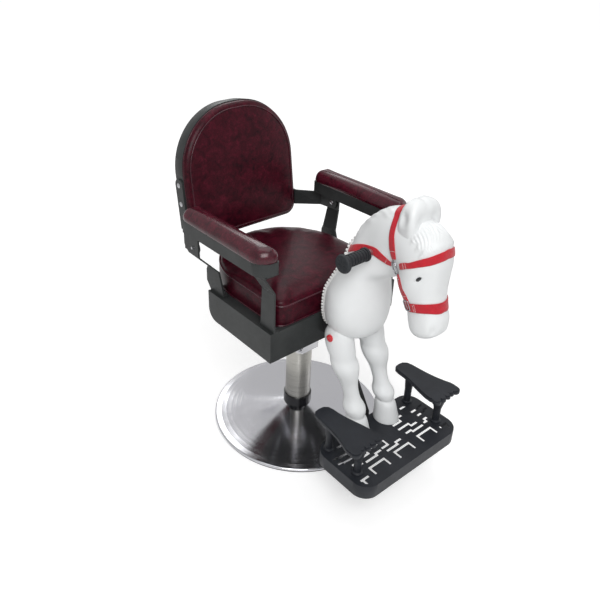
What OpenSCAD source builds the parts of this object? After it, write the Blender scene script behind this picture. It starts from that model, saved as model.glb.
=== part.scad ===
// Child's salon chair on a hydraulic pump base, with a moulded pony in front of the seat,
// a footrest with foot-shaped pedals, padded arms and a round-topped back.
// Lengths are millimetres. Z is up, the sitter faces -Y, the origin is the middle of the base on the floor.

/* [Base] */
// Diameter of the dished floor base
base_diameter = 570; // [480:5:680]
// Height of the dish at its middle
base_rise = 58; // [44:1:76]
// Sheet thickness of the dish
base_sheet = 3; // [2:0.5:5]
// Thickness of the rubber sheet under the base
pad_height = 3; // [2:0.5:6]
// Outer diameter of the pump tube
pump_diameter = 84; // [70:1:96]
// Length of the pump tube above the weight plate
pump_length = 283; // [240:1:340]
// Height of the chrome pump head
head_height = 54; // [44:1:70]
// Diameter of the lifting rod
rod_diameter = 28; // [24:0.5:36]
// Length of rod left showing at the lowest seat height
rod_showing = 37; // [20:1:60]
// Travel of the seat lift
lift_travel = 120; // [80:1:140]
// Length of the foot lever behind its pivot
lever_length = 382; // [300:1:430]

/* [Seat] */
// Width of the steel seat box
box_width = 500; // [440:2:560]
// Front to back length of the seat box
box_depth = 304; // [270:1:340]
// Height of the seat box
box_height = 97; // [80:1:120]
// Distance from the lift axis to the front of the seat box
box_ahead = 156; // [130:1:170]
// Radius of the lower rear corner of the box
box_corner = 38; // [20:1:45]
// Width of the seat cushion
cushion_width = 430; // [380:2:434]
// Height of the cushion side up to its piping
cushion_side = 72; // [50:1:90]
// Rise of the cushion crown over its piping
cushion_crown = 16; // [8:1:26]

/* [Arms] */
// Overall width across the arms
arm_span = 580; // [560:2:620]
// Width of each arm tray
arm_width = 62; // [54:1:70]
// Length of each arm tray
arm_length = 377; // [320:1:400]
// Height of the arm tray floor above the seat box
arm_lift = 187; // [150:1:220]
// Depth of the arm tray
tray_depth = 37; // [28:1:46]
// Height of the arm pad over the tray edge
pad_rise = 44; // [30:1:56]

/* [Back] */
// Width of the backrest
back_width = 426; // [380:2:440]
// Length of the backrest along its slope
back_length = 412; // [360:2:460]
// Lean of the backrest from upright
back_lean = 8; // [2:0.5:14]
// Depth of the steel back shell
shell_depth = 42; // [34:1:56]
// Thickness of the back pad in front of the shell
pad_front = 26; // [18:1:36]

/* [Pony] */
// Front to back length of the moulded pony
pony_length = 340; // [300:2:380]
// Height of the moulded pony from belly to poll
pony_height = 440; // [400:2:480]
// Half of the greatest body width
pony_half_width = 90; // [76:1:100]
// Diameter of the handlebar tube
bar_diameter = 22; // [18:1:26]
// Length of each rubber grip
grip_length = 84; // [70:1:100]

/* [Footrest] */
// Width of the footrest deck
deck_width = 404; // [360:2:440]
// Front to back depth of the deck
deck_depth = 204; // [180:2:230]
// Depth of the skirt round the deck
deck_skirt = 44; // [30:1:54]
// Drop from the seat box floor to the top of the deck
deck_drop = 236; // [200:1:270]
// Height of the pedals above the deck
pedal_height = 104; // [80:1:120]
// Length of each foot-shaped pedal
pedal_length = 206; // [180:2:226]

/* [Hidden] */
$fn = 48;
round_fn = 96;

// Clearances and the one overrun used by cuts
fit_gap = 0.5;
run_gap = 0.05;
soft_gap = 0.3;
over = 1;

// Base and pump
weight_thick = 8;
rim_bead = 5;
rim_inset = 3;
weight_inset = 26;
weight_z = pad_height;
pump_z = weight_z + weight_thick;
pump_r = pump_diameter / 2;
pump_wall = 5;
pump_bore = pump_r - pump_wall;
dish_r = base_diameter / 2;
dish_neck = 8;
dish_steps = 14;
dish_power = 1.35;
band_thick = 5;
band_height = 36;
head_z = pump_z + pump_length;
head_r = pump_r - 3;
spigot_length = 12;
gland_r = rod_diameter / 2 + 6;
gland_length = 24;
gland_flange = 3;
gland_flange_r = gland_r + 5;
rod_r = rod_diameter / 2;
rod_top_z = head_z + head_height + gland_flange + rod_showing;
collar_r = rod_r + 8;
collar_thick = 6;
washer_thick = 3;
spindle_r = rod_r - 3;
spindle_length = 40;
piston_length = 24;
piston_gap = 4;
piston_top = head_z - spigot_length - piston_gap - lift_travel;
rod_tail = 4;

// Foot lever and its block on the pump head
block_half = 22;
block_out = 26;
block_low = 6;
block_tall = 34;
shaft_r = 7;
shaft_out = pump_r + 10;
shaft_z = head_z + block_low + block_tall / 2;
shaft_y = -head_r - block_out / 2;
lever_thick = 9;
lever_gap = 1;
lever_x = pump_r + 3;
eye_r = 14;
lever_bar = 11;
lever_rise = 34;
shoe_length = 70;
shoe_width = 52;
shoe_thick = 6;
tread_thick = 8;
tread_inset = 4;
nut_r = 10;
nut_thick = 6;

// Seat mounting
hub_z = rod_top_z;
hub_r = 23;
hub_length = 44;
flange_rise = 8;
flange_width = 230;
flange_depth = 190;
flange_thick = 6;
flange_corner = 20;
rail_width = 40;
rail_height = 14;
rail_wall = 3;
rail_z = hub_z + flange_rise + flange_thick;
rail_spread = 150;
rail_length = box_depth - 30;
box_z = rail_z + rail_height;
bolt_r = 4;
bolt_head_r = 8;
bolt_head = 5;

// Seat box and cushion
box_sheet = 3;
box_ledge = 66;
box_front = -box_ahead;
box_rear = box_front + box_depth;
box_top = box_z + box_height;
hub_hole = hub_r + 24;
vent_width = 26;
vent_length = 90;
vent_spread = 165;
ledge_bend = 10;
board_thick = 12;
board_inset = 16;
cushion_front = box_front + 8;
cushion_r = cushion_width / 2;
cushion_mid = cushion_front + box_depth * 0.717;
cushion_nose = 34;
pocket_gap = 1;
seat_ring_share = [[0.030, 0], [0, 0.10], [0.012, 0.40], [0.010, 0.72], [-0.008, 0.86],
    [-0.012, 0.96], [0.004, 1.04]];
crown_share = [[0.03, 1.00, 0.02], [0.12, 1, 0.40], [0.26, 1, 0.68], [0.42, 1, 0.86],
    [0.62, 1, 0.97], [0.84, 1, 1.0]];

// Arms
tray_z = box_top + arm_lift;
tray_sheet = 3;
tray_out = arm_span / 2;
tray_in = tray_out - arm_width;
tray_front = box_front - 8;
tray_rear = tray_front + arm_length;
tray_nose = 44;
tray_corner = 8;
arm_board_thick = 12;
pad_z = tray_z + tray_sheet + arm_board_thick + soft_gap;
pad_top = tray_z + tray_depth + pad_rise;
pad_over = 2;
post_thick = 6;
post_out = box_width / 2 - 10;
post_front = box_front;
post_width = 58;
front_jog_low = arm_lift - 62;
front_jog_high = arm_lift - 12;
front_jog_out = tray_out - post_out - 20;
rear_jog_low = 76;
rear_jog_high = 124;
rear_low_y = box_rear - 52;
rear_low_width = 66;
rear_high_y = tray_rear - 74;
rear_high_width = 76;
rear_foot_flare = 16;
post_foot = 20;
foot_round = 12;
foot_hole_share = [0.25, 0.75];
rear_jog_out = tray_out - post_out - tray_sheet - 2;

// Back
back_r = back_width / 2;
back_top_r = 196;
back_low_r = 42;
back_z = box_top + cushion_side + back_low_r / 3;
back_behind = 49;
back_y = cushion_mid + cushion_r + back_behind;
shell_sheet = 3;
back_board_thick = 12;
back_rib = 15;
rib_width = 24;
rib_half = 120;
bracket_thick = 6;
bracket_width = 46;
bracket_end = 21;
bracket_low = 42;
bracket_high = 186;
bracket_drop = 60;

// Pony
pony_back = box_front - 16;
pony_z = box_z + 48;
ring_sides = 24;
// each ring: crest Y and Z, chest or throat Y and Z, half width, as shares of the pony
pony_share = [
    [0.120, 0.000, 0.271, 0.000, 0.31], [0.030, 0.023, 0.341, 0.018, 0.64],
    [-0.030, 0.068, 0.382, 0.064, 0.84], [-0.045, 0.155, 0.397, 0.143, 0.97],
    [-0.045, 0.257, 0.391, 0.245, 1.00], [-0.030, 0.359, 0.376, 0.341, 0.96],
    [0.038, 0.459, 0.365, 0.416, 0.86], [0.106, 0.550, 0.371, 0.477, 0.73],
    [0.153, 0.643, 0.391, 0.523, 0.63], [0.200, 0.741, 0.426, 0.559, 0.57],
    [0.282, 0.836, 0.471, 0.591, 0.52], [0.397, 0.918, 0.506, 0.616, 0.50],
    [0.524, 0.968, 0.529, 0.636, 0.51], [0.653, 0.989, 0.547, 0.643, 0.56],
    [0.776, 0.973, 0.559, 0.641, 0.60], [0.865, 0.923, 0.565, 0.627, 0.62],
    [0.912, 0.848, 0.574, 0.602, 0.63], [0.932, 0.757, 0.591, 0.566, 0.62],
    [0.938, 0.666, 0.618, 0.525, 0.57], [0.950, 0.575, 0.656, 0.473, 0.50],
    [0.974, 0.495, 0.691, 0.411, 0.47], [0.991, 0.423, 0.721, 0.352, 0.48],
    [0.979, 0.348, 0.756, 0.298, 0.46], [0.941, 0.293, 0.803, 0.264, 0.34],
    [0.900, 0.270, 0.844, 0.257, 0.16]];
// ear rings: along, spread, half width and half depth, as shares of the ear
ear_share = [[-0.35, 0, 0.72, 0.85], [0, 0, 0.90, 1.00], [0.28, 0.04, 0.98, 0.98], [0.55, 0.10, 0.92, 0.84],
    [0.78, 0.14, 0.72, 0.62], [0.93, 0.16, 0.42, 0.38], [1, 0.16, 0.14, 0.12]];
ear_length = 58;
ear_half = 25;
ear_lean = 24;
ear_splay = 20;
ear_at_share = [0.735, 0.925, 0.40];
// leg rings: side, forward, height, half width, half depth, as shares of the leg
leg_share = [
    [0.67, 0.04, 1.000, 0.45, 0.52], [0.67, 0.01, 0.976, 0.82, 0.98],
    [0.67, 0.00, 0.912, 1.08, 1.28], [0.67, 0.05, 0.830, 1.15, 1.34],
    [0.67, 0.12, 0.765, 1.13, 1.26], [0.68, 0.20, 0.715, 1.06, 1.16],
    [0.68, 0.29, 0.655, 1.13, 1.26], [0.68, 0.37, 0.590, 1.04, 1.14],
    [0.68, 0.47, 0.510, 0.76, 0.86], [0.68, 0.57, 0.430, 0.65, 0.74],
    [0.68, 0.67, 0.355, 0.68, 0.77], [0.68, 0.76, 0.285, 0.87, 0.95],
    [0.68, 0.82, 0.235, 0.82, 0.90], [0.68, 0.86, 0.200, 0.76, 0.84],
    [0.68, 0.89, 0.178, 0.88, 0.97], [0.68, 0.95, 0.090, 0.99, 1.03],
    [0.68, 1.00, 0.000, 1.06, 1.09]];
leg_sides = 18;
leg_half = 34;
shoulder_y = pony_back - 58;
shoulder_z = pony_z + 45;
cap_r = 9;
cap_rise = 5;
cap_depth = 9;
cap_y = shoulder_y;
cap_z = shoulder_z - 30;
cap_x = pony_half_width * 0.67 + leg_half * 1.05;
eye_share = [0.845, 0.666];
eye_r2 = 8;
eye_seat = 0.42;
eye_rise_share = 0.615;
bar_share = [0.400, 0.689];
grip_wall = 6;
grip_flange = 11;
flange_t = 6;
grip_ribs = 7;
rib_depth = 1.5;
bar_reach = 154;
strap_thick = 2.4;
strap_gap = 0.8;
ring_wire = 1.9;
ring_r = 11;
// straps by edges on the body's skin: ring place and angle of one edge, then of the other
brow_share = [[16.25, 0, 16.85, 0], [16.05, 46, 16.65, 46], [15.15, 96, 16.2, 96], [15.05, 106, 15.95, 106]];
head_share = [[11.85, 0, 12.45, 0], [12.3, 80, 13.0, 80], [13.0, 100, 13.8, 98], [13.9, 114, 14.6, 110]];
rein_share = [[7.3, 0, 7.9, 0], [7.5, 33, 8.1, 33], [8.5, 60, 9.2, 60], [10.2, 84, 10.95, 84],
    [11.3, 104, 12.1, 100], [12.6, 118, 13.2, 112], [13.9, 126, 14.3, 120]];
nose_share = [[0, 19.75], [42, 19.5], [90, 19.4], [180, 19.5]];
nose_width = 0.72;
cheek_share = [[16.35, 119, 137], [17.2, 113, 130], [18.2, 104, 121], [19.2, 97, 113]];
ring_at_share = [15.25, 120];
bead_r = 5;
bead_pitch = 12;

// Footrest
deck_sheet = 3;
deck_corner = 46;
deck_top = box_z - deck_drop;
deck_rear = box_front - 142;
deck_front = deck_rear - deck_depth;
strut_width = 62;
strut_thick = 8;
strut_tail = 86;
strut_toe = 70;
strut_clear = 2;
key_width = 8;
post_r = 11;
post_flare = 16;
post_spread = 24;
flare_height = 6;
pedal_thick = 12;
pedal_x = 168;
pedal_half = 56;
pedal_heel_y = deck_rear + 22;
// outline of the sole: across and along, as shares of half width and length
sole_share = [[0.00, 0.000], [0.28, 0.010], [0.45, 0.050], [0.52, 0.13], [0.55, 0.25], [0.60, 0.40],
    [0.69, 0.55], [0.82, 0.68], [0.95, 0.78], [0.97, 0.85], [0.90, 0.885],
    [-0.90, 0.885], [-0.99, 0.81], [-0.97, 0.72], [-0.87, 0.60], [-0.74, 0.47], [-0.62, 0.34],
    [-0.55, 0.22], [-0.53, 0.13], [-0.46, 0.05], [-0.28, 0.010]];
toe_share = [[-0.78, 0.880, 0.23], [-0.38, 0.900, 0.18], [-0.02, 0.903, 0.17], [0.32, 0.895, 0.16],
    [0.68, 0.880, 0.28]];
pedal_bevel = 3;
pedal_bevel_share = 0.955;

// helpers

// profile drawn in (Y, Z), drawn out along +X from x0
module along_x(x0, length) translate([x0, 0, 0]) rotate([90, 0, 90]) linear_extrude(length) children();

// profile drawn in (X, Z), drawn out along +Y from y0
module along_y(y0, length) translate([0, y0 + length, 0]) rotate([90, 0, 0]) linear_extrude(length) children();

module on_side(side) if (side > 0) children(); else mirror([1, 0, 0]) children();

// rectangle with its own radius at each corner: low-left, low-right, high-right, high-left
module plate2(x0, x1, y0, y1, r) difference() {
    translate([x0, y0]) square([x1 - x0, y1 - y0]);
    for (c = [[x0, y0, 1, 1, r[0]], [x1, y0, -1, 1, r[1]], [x1, y1, -1, -1, r[2]], [x0, y1, 1, -1, r[3]]])
        if (c[4] > 0) translate([c[0], c[1]]) scale([c[2], c[3]]) difference() {
            translate([-over, -over]) square(c[4] + over);
            translate([c[4], c[4]]) circle(c[4]);
        }
}

// the same outline as a list of points, drawn in by d
function arc_pts(cx, cy, r, a0, a1, n) = [for (i = [0:n]) let (a = a0 + (a1 - a0) * i / n)
    [cx + r * cos(a), cy + r * sin(a)]];
function plate_pts(x0, x1, y0, y1, r, d, n) = let (
    q = [for (v = r) max(v - d, over / 2)], a = x0 + d, b = x1 - d, c = y0 + d, e = y1 - d)
    concat(arc_pts(a + q[0], c + q[0], q[0], 180, 270, n), arc_pts(b - q[1], c + q[1], q[1], 270, 360, n),
        arc_pts(b - q[2], e - q[2], q[2], 0, 90, n), arc_pts(a + q[3], e - q[3], q[3], 90, 180, n));

// closed skin through equal rings of points, with flat ends, as triangles
module skin(rings) {
    n = len(rings[0]);
    m = len(rings);
    mid0 = [for (k = [0:2]) sum([for (p = rings[0]) p[k]]) / n];
    mid1 = [for (k = [0:2]) sum([for (p = rings[m - 1]) p[k]]) / n];
    polyhedron(points = concat([for (r = rings) for (p = r) p], [mid0, mid1]),
        faces = concat(
            [for (j = [0:m - 2]) for (i = [0:n - 1]) [j * n + i, (j + 1) * n + (i + 1) % n, j * n + (i + 1) % n]],
            [for (j = [0:m - 2]) for (i = [0:n - 1]) [j * n + i, (j + 1) * n + i, (j + 1) * n + (i + 1) % n]],
            [for (i = [0:n - 1]) [m * n, i, (i + 1) % n]],
            [for (i = [0:n - 1]) [m * n + 1, (m - 1) * n + (i + 1) % n, (m - 1) * n + i]]));
}
function sum(v, i = 0) = i < len(v) ? v[i] + sum(v, i + 1) : 0;

// closed band: n stations, each a loop of points, first joined to last
module loop_skin(st) {
    n = len(st);
    k = len(st[0]);
    polyhedron(points = [for (s = st) for (p = s) p],
        faces = [for (i = [0:n - 1]) for (j = [0:k - 1]) for (t = [0, 1])
            let (a = i * k + j, b = i * k + (j + 1) % k, c = ((i + 1) % n) * k + (j + 1) % k,
                d = ((i + 1) % n) * k + j)
            t == 0 ? [a, b, c] : [a, c, d]]);
}

// stuffed form: side rings as [draw-in share, height share], crown rings as [draw-in share, 1, rise share]
function pillow_rings(x0, x1, y0, y1, r, z0, side, crown, inner, n, wob) = concat(
    [for (s = seat_ring_share) [for (p = plate_pts(x0, x1, y0, y1, r, s[0] * wob, n)) [p[0], p[1], z0 + side * s[1]]]],
    [for (s = crown_share) [for (p = plate_pts(x0, x1, y0, y1, r, s[0] * inner, n))
        [p[0], p[1], z0 + side * 1.02 + crown * s[2]]]]);

// base and pump

module floor_pad() color([0.08, 0.08, 0.09]) cylinder(r = dish_r - rim_inset, h = pad_height, $fn = round_fn);

module weight_plate() color([0.25, 0.25, 0.26]) translate([0, 0, weight_z]) difference() {
    cylinder(r = dish_r - weight_inset, h = weight_thick, $fn = round_fn);
    for (a = [45:90:315]) rotate(a) translate([pump_r + 20, 0, -over])
        cylinder(r = bolt_r, h = weight_thick + 2 * over);
}

// outer surface of the dish as [radius, height] from the neck to the rim
dish_edge = pad_height + rim_bead * 2;
function dish_line(t) = let (r0 = pump_r + fit_gap, r1 = dish_r - rim_bead)
    [r0 + (r1 - r0) * t, dish_edge + (base_rise - dish_edge) * pow(1 - t, dish_power)];

module base_dish() color([0.75, 0.75, 0.77]) rotate_extrude($fn = round_fn) polygon(concat(
    [for (i = [0:dish_steps]) dish_line(i / dish_steps)],
    arc_pts(dish_r - rim_bead, pad_height + rim_bead, rim_bead, 75, -90, 11),
    [for (i = [dish_steps:-1:1]) dish_line(i / dish_steps) - [0, base_sheet]],
    [[pump_r + fit_gap + base_sheet, base_rise - dish_neck], [pump_r + fit_gap, base_rise - dish_neck]]));

module pump_tube() color([0.78, 0.77, 0.74]) translate([0, 0, pump_z]) difference() {
    cylinder(r = pump_r, h = pump_length, $fn = round_fn);
    translate([0, 0, pump_wall * 2]) cylinder(r = pump_bore, h = pump_length, $fn = round_fn);
}

module pump_band() color([0.03, 0.03, 0.035]) rotate_extrude($fn = round_fn) difference() {
    translate([pump_r, base_rise]) square([band_thick, band_height]);
    translate([pump_r + band_thick, base_rise + band_height]) circle(band_thick / 2);
}

module thrust_washer() color([0.72, 0.55, 0.3]) translate([0, 0, head_z]) difference() {
    cylinder(r = pump_r, h = washer_thick, $fn = round_fn);
    translate([0, 0, -over]) cylinder(r = pump_bore, h = washer_thick + 2 * over, $fn = round_fn);
}

module pump_head() color([0.8, 0.8, 0.82]) difference() {
    union() {
        rotate_extrude($fn = round_fn) polygon([[0, head_z - spigot_length], [pump_bore - run_gap, head_z - spigot_length],
            [pump_bore - run_gap, head_z + washer_thick], [pump_r, head_z + washer_thick],
            [pump_r, head_z + washer_thick + band_thick],
            [head_r, head_z + band_thick * 2.4], [head_r, head_z + head_height - band_thick * 3],
            [head_r - band_thick, head_z + head_height - band_thick],
            [gland_flange_r + over, head_z + head_height], [0, head_z + head_height]]);
        along_x(-block_half * 2, block_half * 3)
            plate2(shaft_y - block_out / 2, 0, shaft_z - block_tall / 2, shaft_z + block_tall / 2,
                [band_thick, 0, 0, band_thick]);
    }
    translate([0, 0, head_z - spigot_length - over]) cylinder(r = rod_r + fit_gap, h = head_height + spigot_length + 2 * over);
    translate([0, 0, head_z + head_height - gland_length]) cylinder(r = gland_r, h = gland_length + over);
    translate([-block_half * 2 - over, shaft_y, shaft_z]) rotate([0, 90, 0])
        cylinder(r = shaft_r + run_gap, h = block_half * 3 + 2 * over);
}

module gland_bush() color([0.72, 0.55, 0.3]) translate([0, 0, head_z + head_height - gland_length]) difference() {
    union() {
        cylinder(r = gland_r, h = gland_length);
        translate([0, 0, gland_length]) cylinder(r = gland_flange_r, h = gland_flange);
    }
    translate([0, 0, -over]) cylinder(r = rod_r + run_gap, h = gland_length + gland_flange + 2 * over);
}

// foot lever

module lever_shaft() color([0.8, 0.8, 0.82]) translate([0, shaft_y, shaft_z]) rotate([0, 90, 0]) {
    translate([0, 0, -lever_x - lever_thick - nut_thick]) cylinder(r = nut_r, h = nut_thick, $fn = 6);
    translate([0, 0, -lever_x - lever_thick]) cylinder(r = shaft_r, h = lever_x + lever_thick + block_half + lever_gap);
    translate([0, 0, block_half + lever_gap]) cylinder(r = nut_r, h = nut_thick / 2);
}

lever_end_y = shaft_y + lever_length;
lever_end_z = shaft_z + lever_rise;
module foot_lever() color([0.8, 0.8, 0.82]) difference() {
    union() {
        along_x(-lever_x - lever_thick, lever_thick) union() {
            translate([shaft_y, shaft_z]) circle(eye_r);
            polygon([[shaft_y, shaft_z - eye_r], [shaft_y, shaft_z + eye_r],
                [lever_end_y - shoe_length, lever_end_z], [lever_end_y, lever_end_z],
                [lever_end_y, lever_end_z - lever_bar], [lever_end_y - shoe_length, lever_end_z - lever_bar * 2]]);
        }
        translate([-lever_x - lever_thick, lever_end_y - shoe_length, lever_end_z - shoe_thick])
            linear_extrude(shoe_thick) plate2(0, shoe_width, 0, shoe_length, [0, eye_r, eye_r, 0]);
    }
    translate([-lever_x - lever_thick - over, shaft_y, shaft_z]) rotate([0, 90, 0])
        cylinder(r = shaft_r, h = lever_thick + 2 * over);
}

module lever_tread() color([0.06, 0.06, 0.065])
    translate([-lever_x - lever_thick, lever_end_y - shoe_length, lever_end_z]) difference() {
        linear_extrude(tread_thick) plate2(tread_inset, shoe_width - tread_inset, tread_inset,
            shoe_length - tread_inset, [eye_r / 2, eye_r, eye_r, eye_r / 2]);
        for (i = [1:4]) translate([0, shoe_length * i / 5 - tread_inset / 2, tread_thick - over * 2])
            cube([shoe_width, tread_inset, tread_thick]);
    }

// lift and seat mounting

module lift_rod() color([0.82, 0.82, 0.84]) {
    translate([0, 0, piston_top - piston_length - rod_tail])
        cylinder(r = rod_r, h = rod_top_z - collar_thick - piston_top + piston_length + rod_tail);
    translate([0, 0, rod_top_z - collar_thick]) cylinder(r = collar_r, h = collar_thick);
    translate([0, 0, rod_top_z]) cylinder(r = spindle_r, h = spindle_length);
}

module lift_piston() color([0.5, 0.5, 0.52]) translate([0, 0, piston_top - piston_length]) difference() {
    cylinder(r = pump_bore - run_gap, h = piston_length, $fn = round_fn);
    translate([0, 0, -over]) cylinder(r = rod_r, h = piston_length + 2 * over);
}

module mount_holes(r, z0, h) for (x = [-1, 1]) for (y = [-1, 1])
    translate([x * rail_spread / 2, y * flange_depth * 0.36, z0]) cylinder(r = r, h = h);

module seat_hub() color([0.05, 0.05, 0.055]) difference() {
    union() {
        translate([0, 0, hub_z]) cylinder(r = hub_r, h = hub_length);
        translate([-flange_width / 2, -flange_depth / 2, hub_z + flange_rise]) linear_extrude(flange_thick)
            plate2(0, flange_width, 0, flange_depth, [for (i = [0:3]) flange_corner]);
        for (a = [0:90:270]) rotate(a) along_y(-flange_thick / 2, flange_thick)
            polygon([[hub_r - flange_thick, hub_z + flange_rise + over], [hub_r - flange_thick, hub_z + hub_length - flange_thick],
                [hub_r + flange_thick, hub_z + hub_length - flange_thick],
                [rail_spread / 2 - rail_width / 2 - over, hub_z + flange_rise + over]]);
    }
    translate([0, 0, hub_z - over]) cylinder(r = spindle_r + run_gap, h = spindle_length + over);
    mount_holes(bolt_r + fit_gap, hub_z, hub_length);
}

module mount_rails() color([0.12, 0.12, 0.125]) for (side = [-1, 1]) difference() {
    translate([side * rail_spread / 2 - rail_width / 2, -rail_length / 2 + (box_front + box_rear) / 2, rail_z])
        cube([rail_width, rail_length, rail_height]);
    translate([side * rail_spread / 2 - rail_width / 2 + rail_wall, -rail_length, rail_z + rail_wall])
        cube([rail_width - 2 * rail_wall, 2 * rail_length, rail_height - 2 * rail_wall]);
    mount_holes(bolt_r + fit_gap, rail_z - over, rail_height + 2 * over);
}

module mount_bolts() color([0.7, 0.7, 0.72]) {
    mount_holes(bolt_r, hub_z + flange_rise - bolt_head, flange_thick + rail_height + box_sheet + bolt_head + bolt_head);
    for (x = [-1, 1]) for (y = [-1, 1]) translate([x * rail_spread / 2, y * flange_depth * 0.36, 0]) {
        translate([0, 0, hub_z + flange_rise - bolt_head]) cylinder(r = bolt_head_r, h = bolt_head, $fn = 6);
        translate([0, 0, box_z + box_sheet]) cylinder(r = bolt_head_r, h = bolt_head, $fn = 6);
    }
}

// seat

module box_side(d) plate2(box_front + d, box_rear - d, box_z + d, box_top - d,
    [over, box_corner - d, 0, 0]);

module seat_box() color([0.3, 0.31, 0.3]) difference() {
    along_x(-box_width / 2, box_width) box_side(0);
    along_x(-box_width / 2 + box_sheet, box_width - 2 * box_sheet) box_side(box_sheet);
    translate([0, 0, box_top - box_sheet - over]) linear_extrude(box_sheet + 2 * over)
        plate2(-box_width / 2 + box_ledge, box_width / 2 - box_ledge, box_front + box_ledge * 0.6,
            box_rear - box_ledge * 0.6, [for (i = [0:3]) ledge_bend]);
    translate([0, 0, box_z - over]) cylinder(r = hub_hole, h = box_sheet + 2 * over);
    for (x = [-1, 1]) for (y = [-1, 1]) translate([x * vent_spread, y * box_depth * 0.22 + (box_front + box_rear) / 2,
        box_z - over]) linear_extrude(box_sheet + 2 * over)
        plate2(-vent_width / 2, vent_width / 2, -vent_length / 2, vent_length / 2,
            [for (i = [0:3]) vent_width / 2 - over]);
    mount_holes(bolt_r + fit_gap, box_z - over, box_sheet + 2 * over);
}

module seat_plan(d, h) linear_extrude(h) plate2(-cushion_r + d, cushion_r - d, cushion_front + d,
    cushion_mid + cushion_r - d, [cushion_nose - d / 2, cushion_nose - d / 2, cushion_r - d, cushion_r - d]);

module seat_board() color([0.72, 0.58, 0.4]) translate([0, 0, box_top]) seat_plan(board_inset, board_thick, $fn = round_fn);

module seat_cushion() color([0.36, 0.1, 0.16]) difference() {
    skin(pillow_rings(-cushion_r, cushion_r, cushion_front, cushion_mid + cushion_r,
        [cushion_nose, cushion_nose, cushion_r, cushion_r], box_top + soft_gap, cushion_side, cushion_crown,
        cushion_r, 9, cushion_side * 2));
    translate([0, 0, box_top - over]) seat_plan(board_inset - pocket_gap, board_thick + over + soft_gap, $fn = round_fn);
}

// arms

// joggled plate: bent line in (X, Z) cut to an outline in (Y, Z)
module bent_strip(low, high, out, top, y0, y1) along_y(y0, y1 - y0) polygon([
    [post_out, box_top], [post_out, box_top + low], [post_out + out, box_top + high], [post_out + out, top],
    [post_out + out - post_thick, top], [post_out + out - post_thick, box_top + high],
    [post_out - post_thick, box_top + low], [post_out - post_thick, box_top]]);

module post_foot_plate(y0, width) difference() {
    translate([post_out - post_foot, y0, box_top]) linear_extrude(post_thick)
        plate2(0, post_foot, 0, width, [foot_round / 2, 0, 0, foot_round / 2]);
    for (k = foot_hole_share) translate([post_out - post_foot * 0.62, y0 + width * k, box_top - over])
        cylinder(r = bolt_r * 0.75, h = post_thick + 2 * over);
}

module front_post(side) color([0.3, 0.31, 0.3]) on_side(side) {
    intersection() {
        bent_strip(front_jog_low, front_jog_high, front_jog_out, tray_z, post_front - over, post_front + 2 * post_width);
        along_x(0, box_width) polygon([
            [post_front, box_top], [post_front, box_top + front_jog_low],
            [post_front + tray_corner / 2, tray_z], [post_front + post_width, tray_z],
            [post_front + post_width - foot_round / 2, box_top + front_jog_low],
            [post_front + post_width, box_top + foot_round], [post_front + post_width + foot_round / 2, box_top]]);
    }
    post_foot_plate(post_front, post_width);
    translate([post_out + front_jog_out - post_thick - post_foot, post_front, tray_z - post_thick])
        cube([post_foot + over, post_width, post_thick]);
}

module rear_post(side) color([0.3, 0.31, 0.3]) on_side(side) {
    difference() {
    intersection() {
        bent_strip(rear_jog_low, rear_jog_high, rear_jog_out, tray_z, rear_low_y - 4 * foot_round, tray_rear + over);
        along_x(0, box_width) union() {
            polygon([[rear_low_y - rear_foot_flare, box_top], [rear_low_y, box_top + rear_jog_low * 0.7],
                [rear_low_y + rear_foot_flare / 2, box_top + rear_jog_low],
                [rear_high_y, box_top + rear_jog_high], [rear_high_y, tray_z],
                [rear_high_y + rear_high_width, tray_z],
                [rear_high_y + rear_high_width, box_top + rear_jog_high + foot_round * 2],
                [rear_high_y + rear_high_width - foot_round / 2, box_top + rear_jog_high + foot_round],
                [rear_high_y + rear_high_width - foot_round * 2, box_top + rear_jog_high],
                [rear_low_y + rear_low_width, box_top + rear_jog_low],
                [rear_low_y + rear_low_width + foot_round / 2, box_top + rear_jog_low - foot_round],
                [rear_low_y + rear_low_width + foot_round / 2, box_top + rear_jog_low / 3],
                [box_rear, box_top]]);
        }
    }
    translate([0, bracket_front_y, bracket_z]) rotate([0, 90, 0]) cylinder(r = bolt_r, h = box_width);
    }
    post_foot_plate(rear_low_y - rear_foot_flare, rear_low_width);
    translate([post_out + rear_jog_out - post_thick - post_foot, rear_high_y, tray_z - post_thick])
        cube([post_foot + over, rear_high_width * 0.6, post_thick]);
}

module tray_plan(d) plate2(tray_in + d, tray_out - d, tray_front + d, tray_rear - d,
    [tray_corner - d / 2, tray_nose - d, tray_corner - d / 2, tray_corner - d / 2]);

module arm_tray(side) color([0.3, 0.31, 0.3]) on_side(side) translate([0, 0, tray_z]) difference() {
    linear_extrude(tray_depth) tray_plan(0);
    translate([0, 0, tray_sheet]) linear_extrude(tray_depth) tray_plan(tray_sheet);
    for (k = [0.3, 0.7]) translate([(tray_in + tray_out) / 2, tray_front + arm_length * k, -over])
        cylinder(r = bolt_r, h = tray_sheet + 2 * over);
}

module arm_board(side) color([0.72, 0.58, 0.4]) on_side(side) translate([0, 0, tray_z + tray_sheet])
    linear_extrude(arm_board_thick) tray_plan(tray_sheet + fit_gap);

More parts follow.
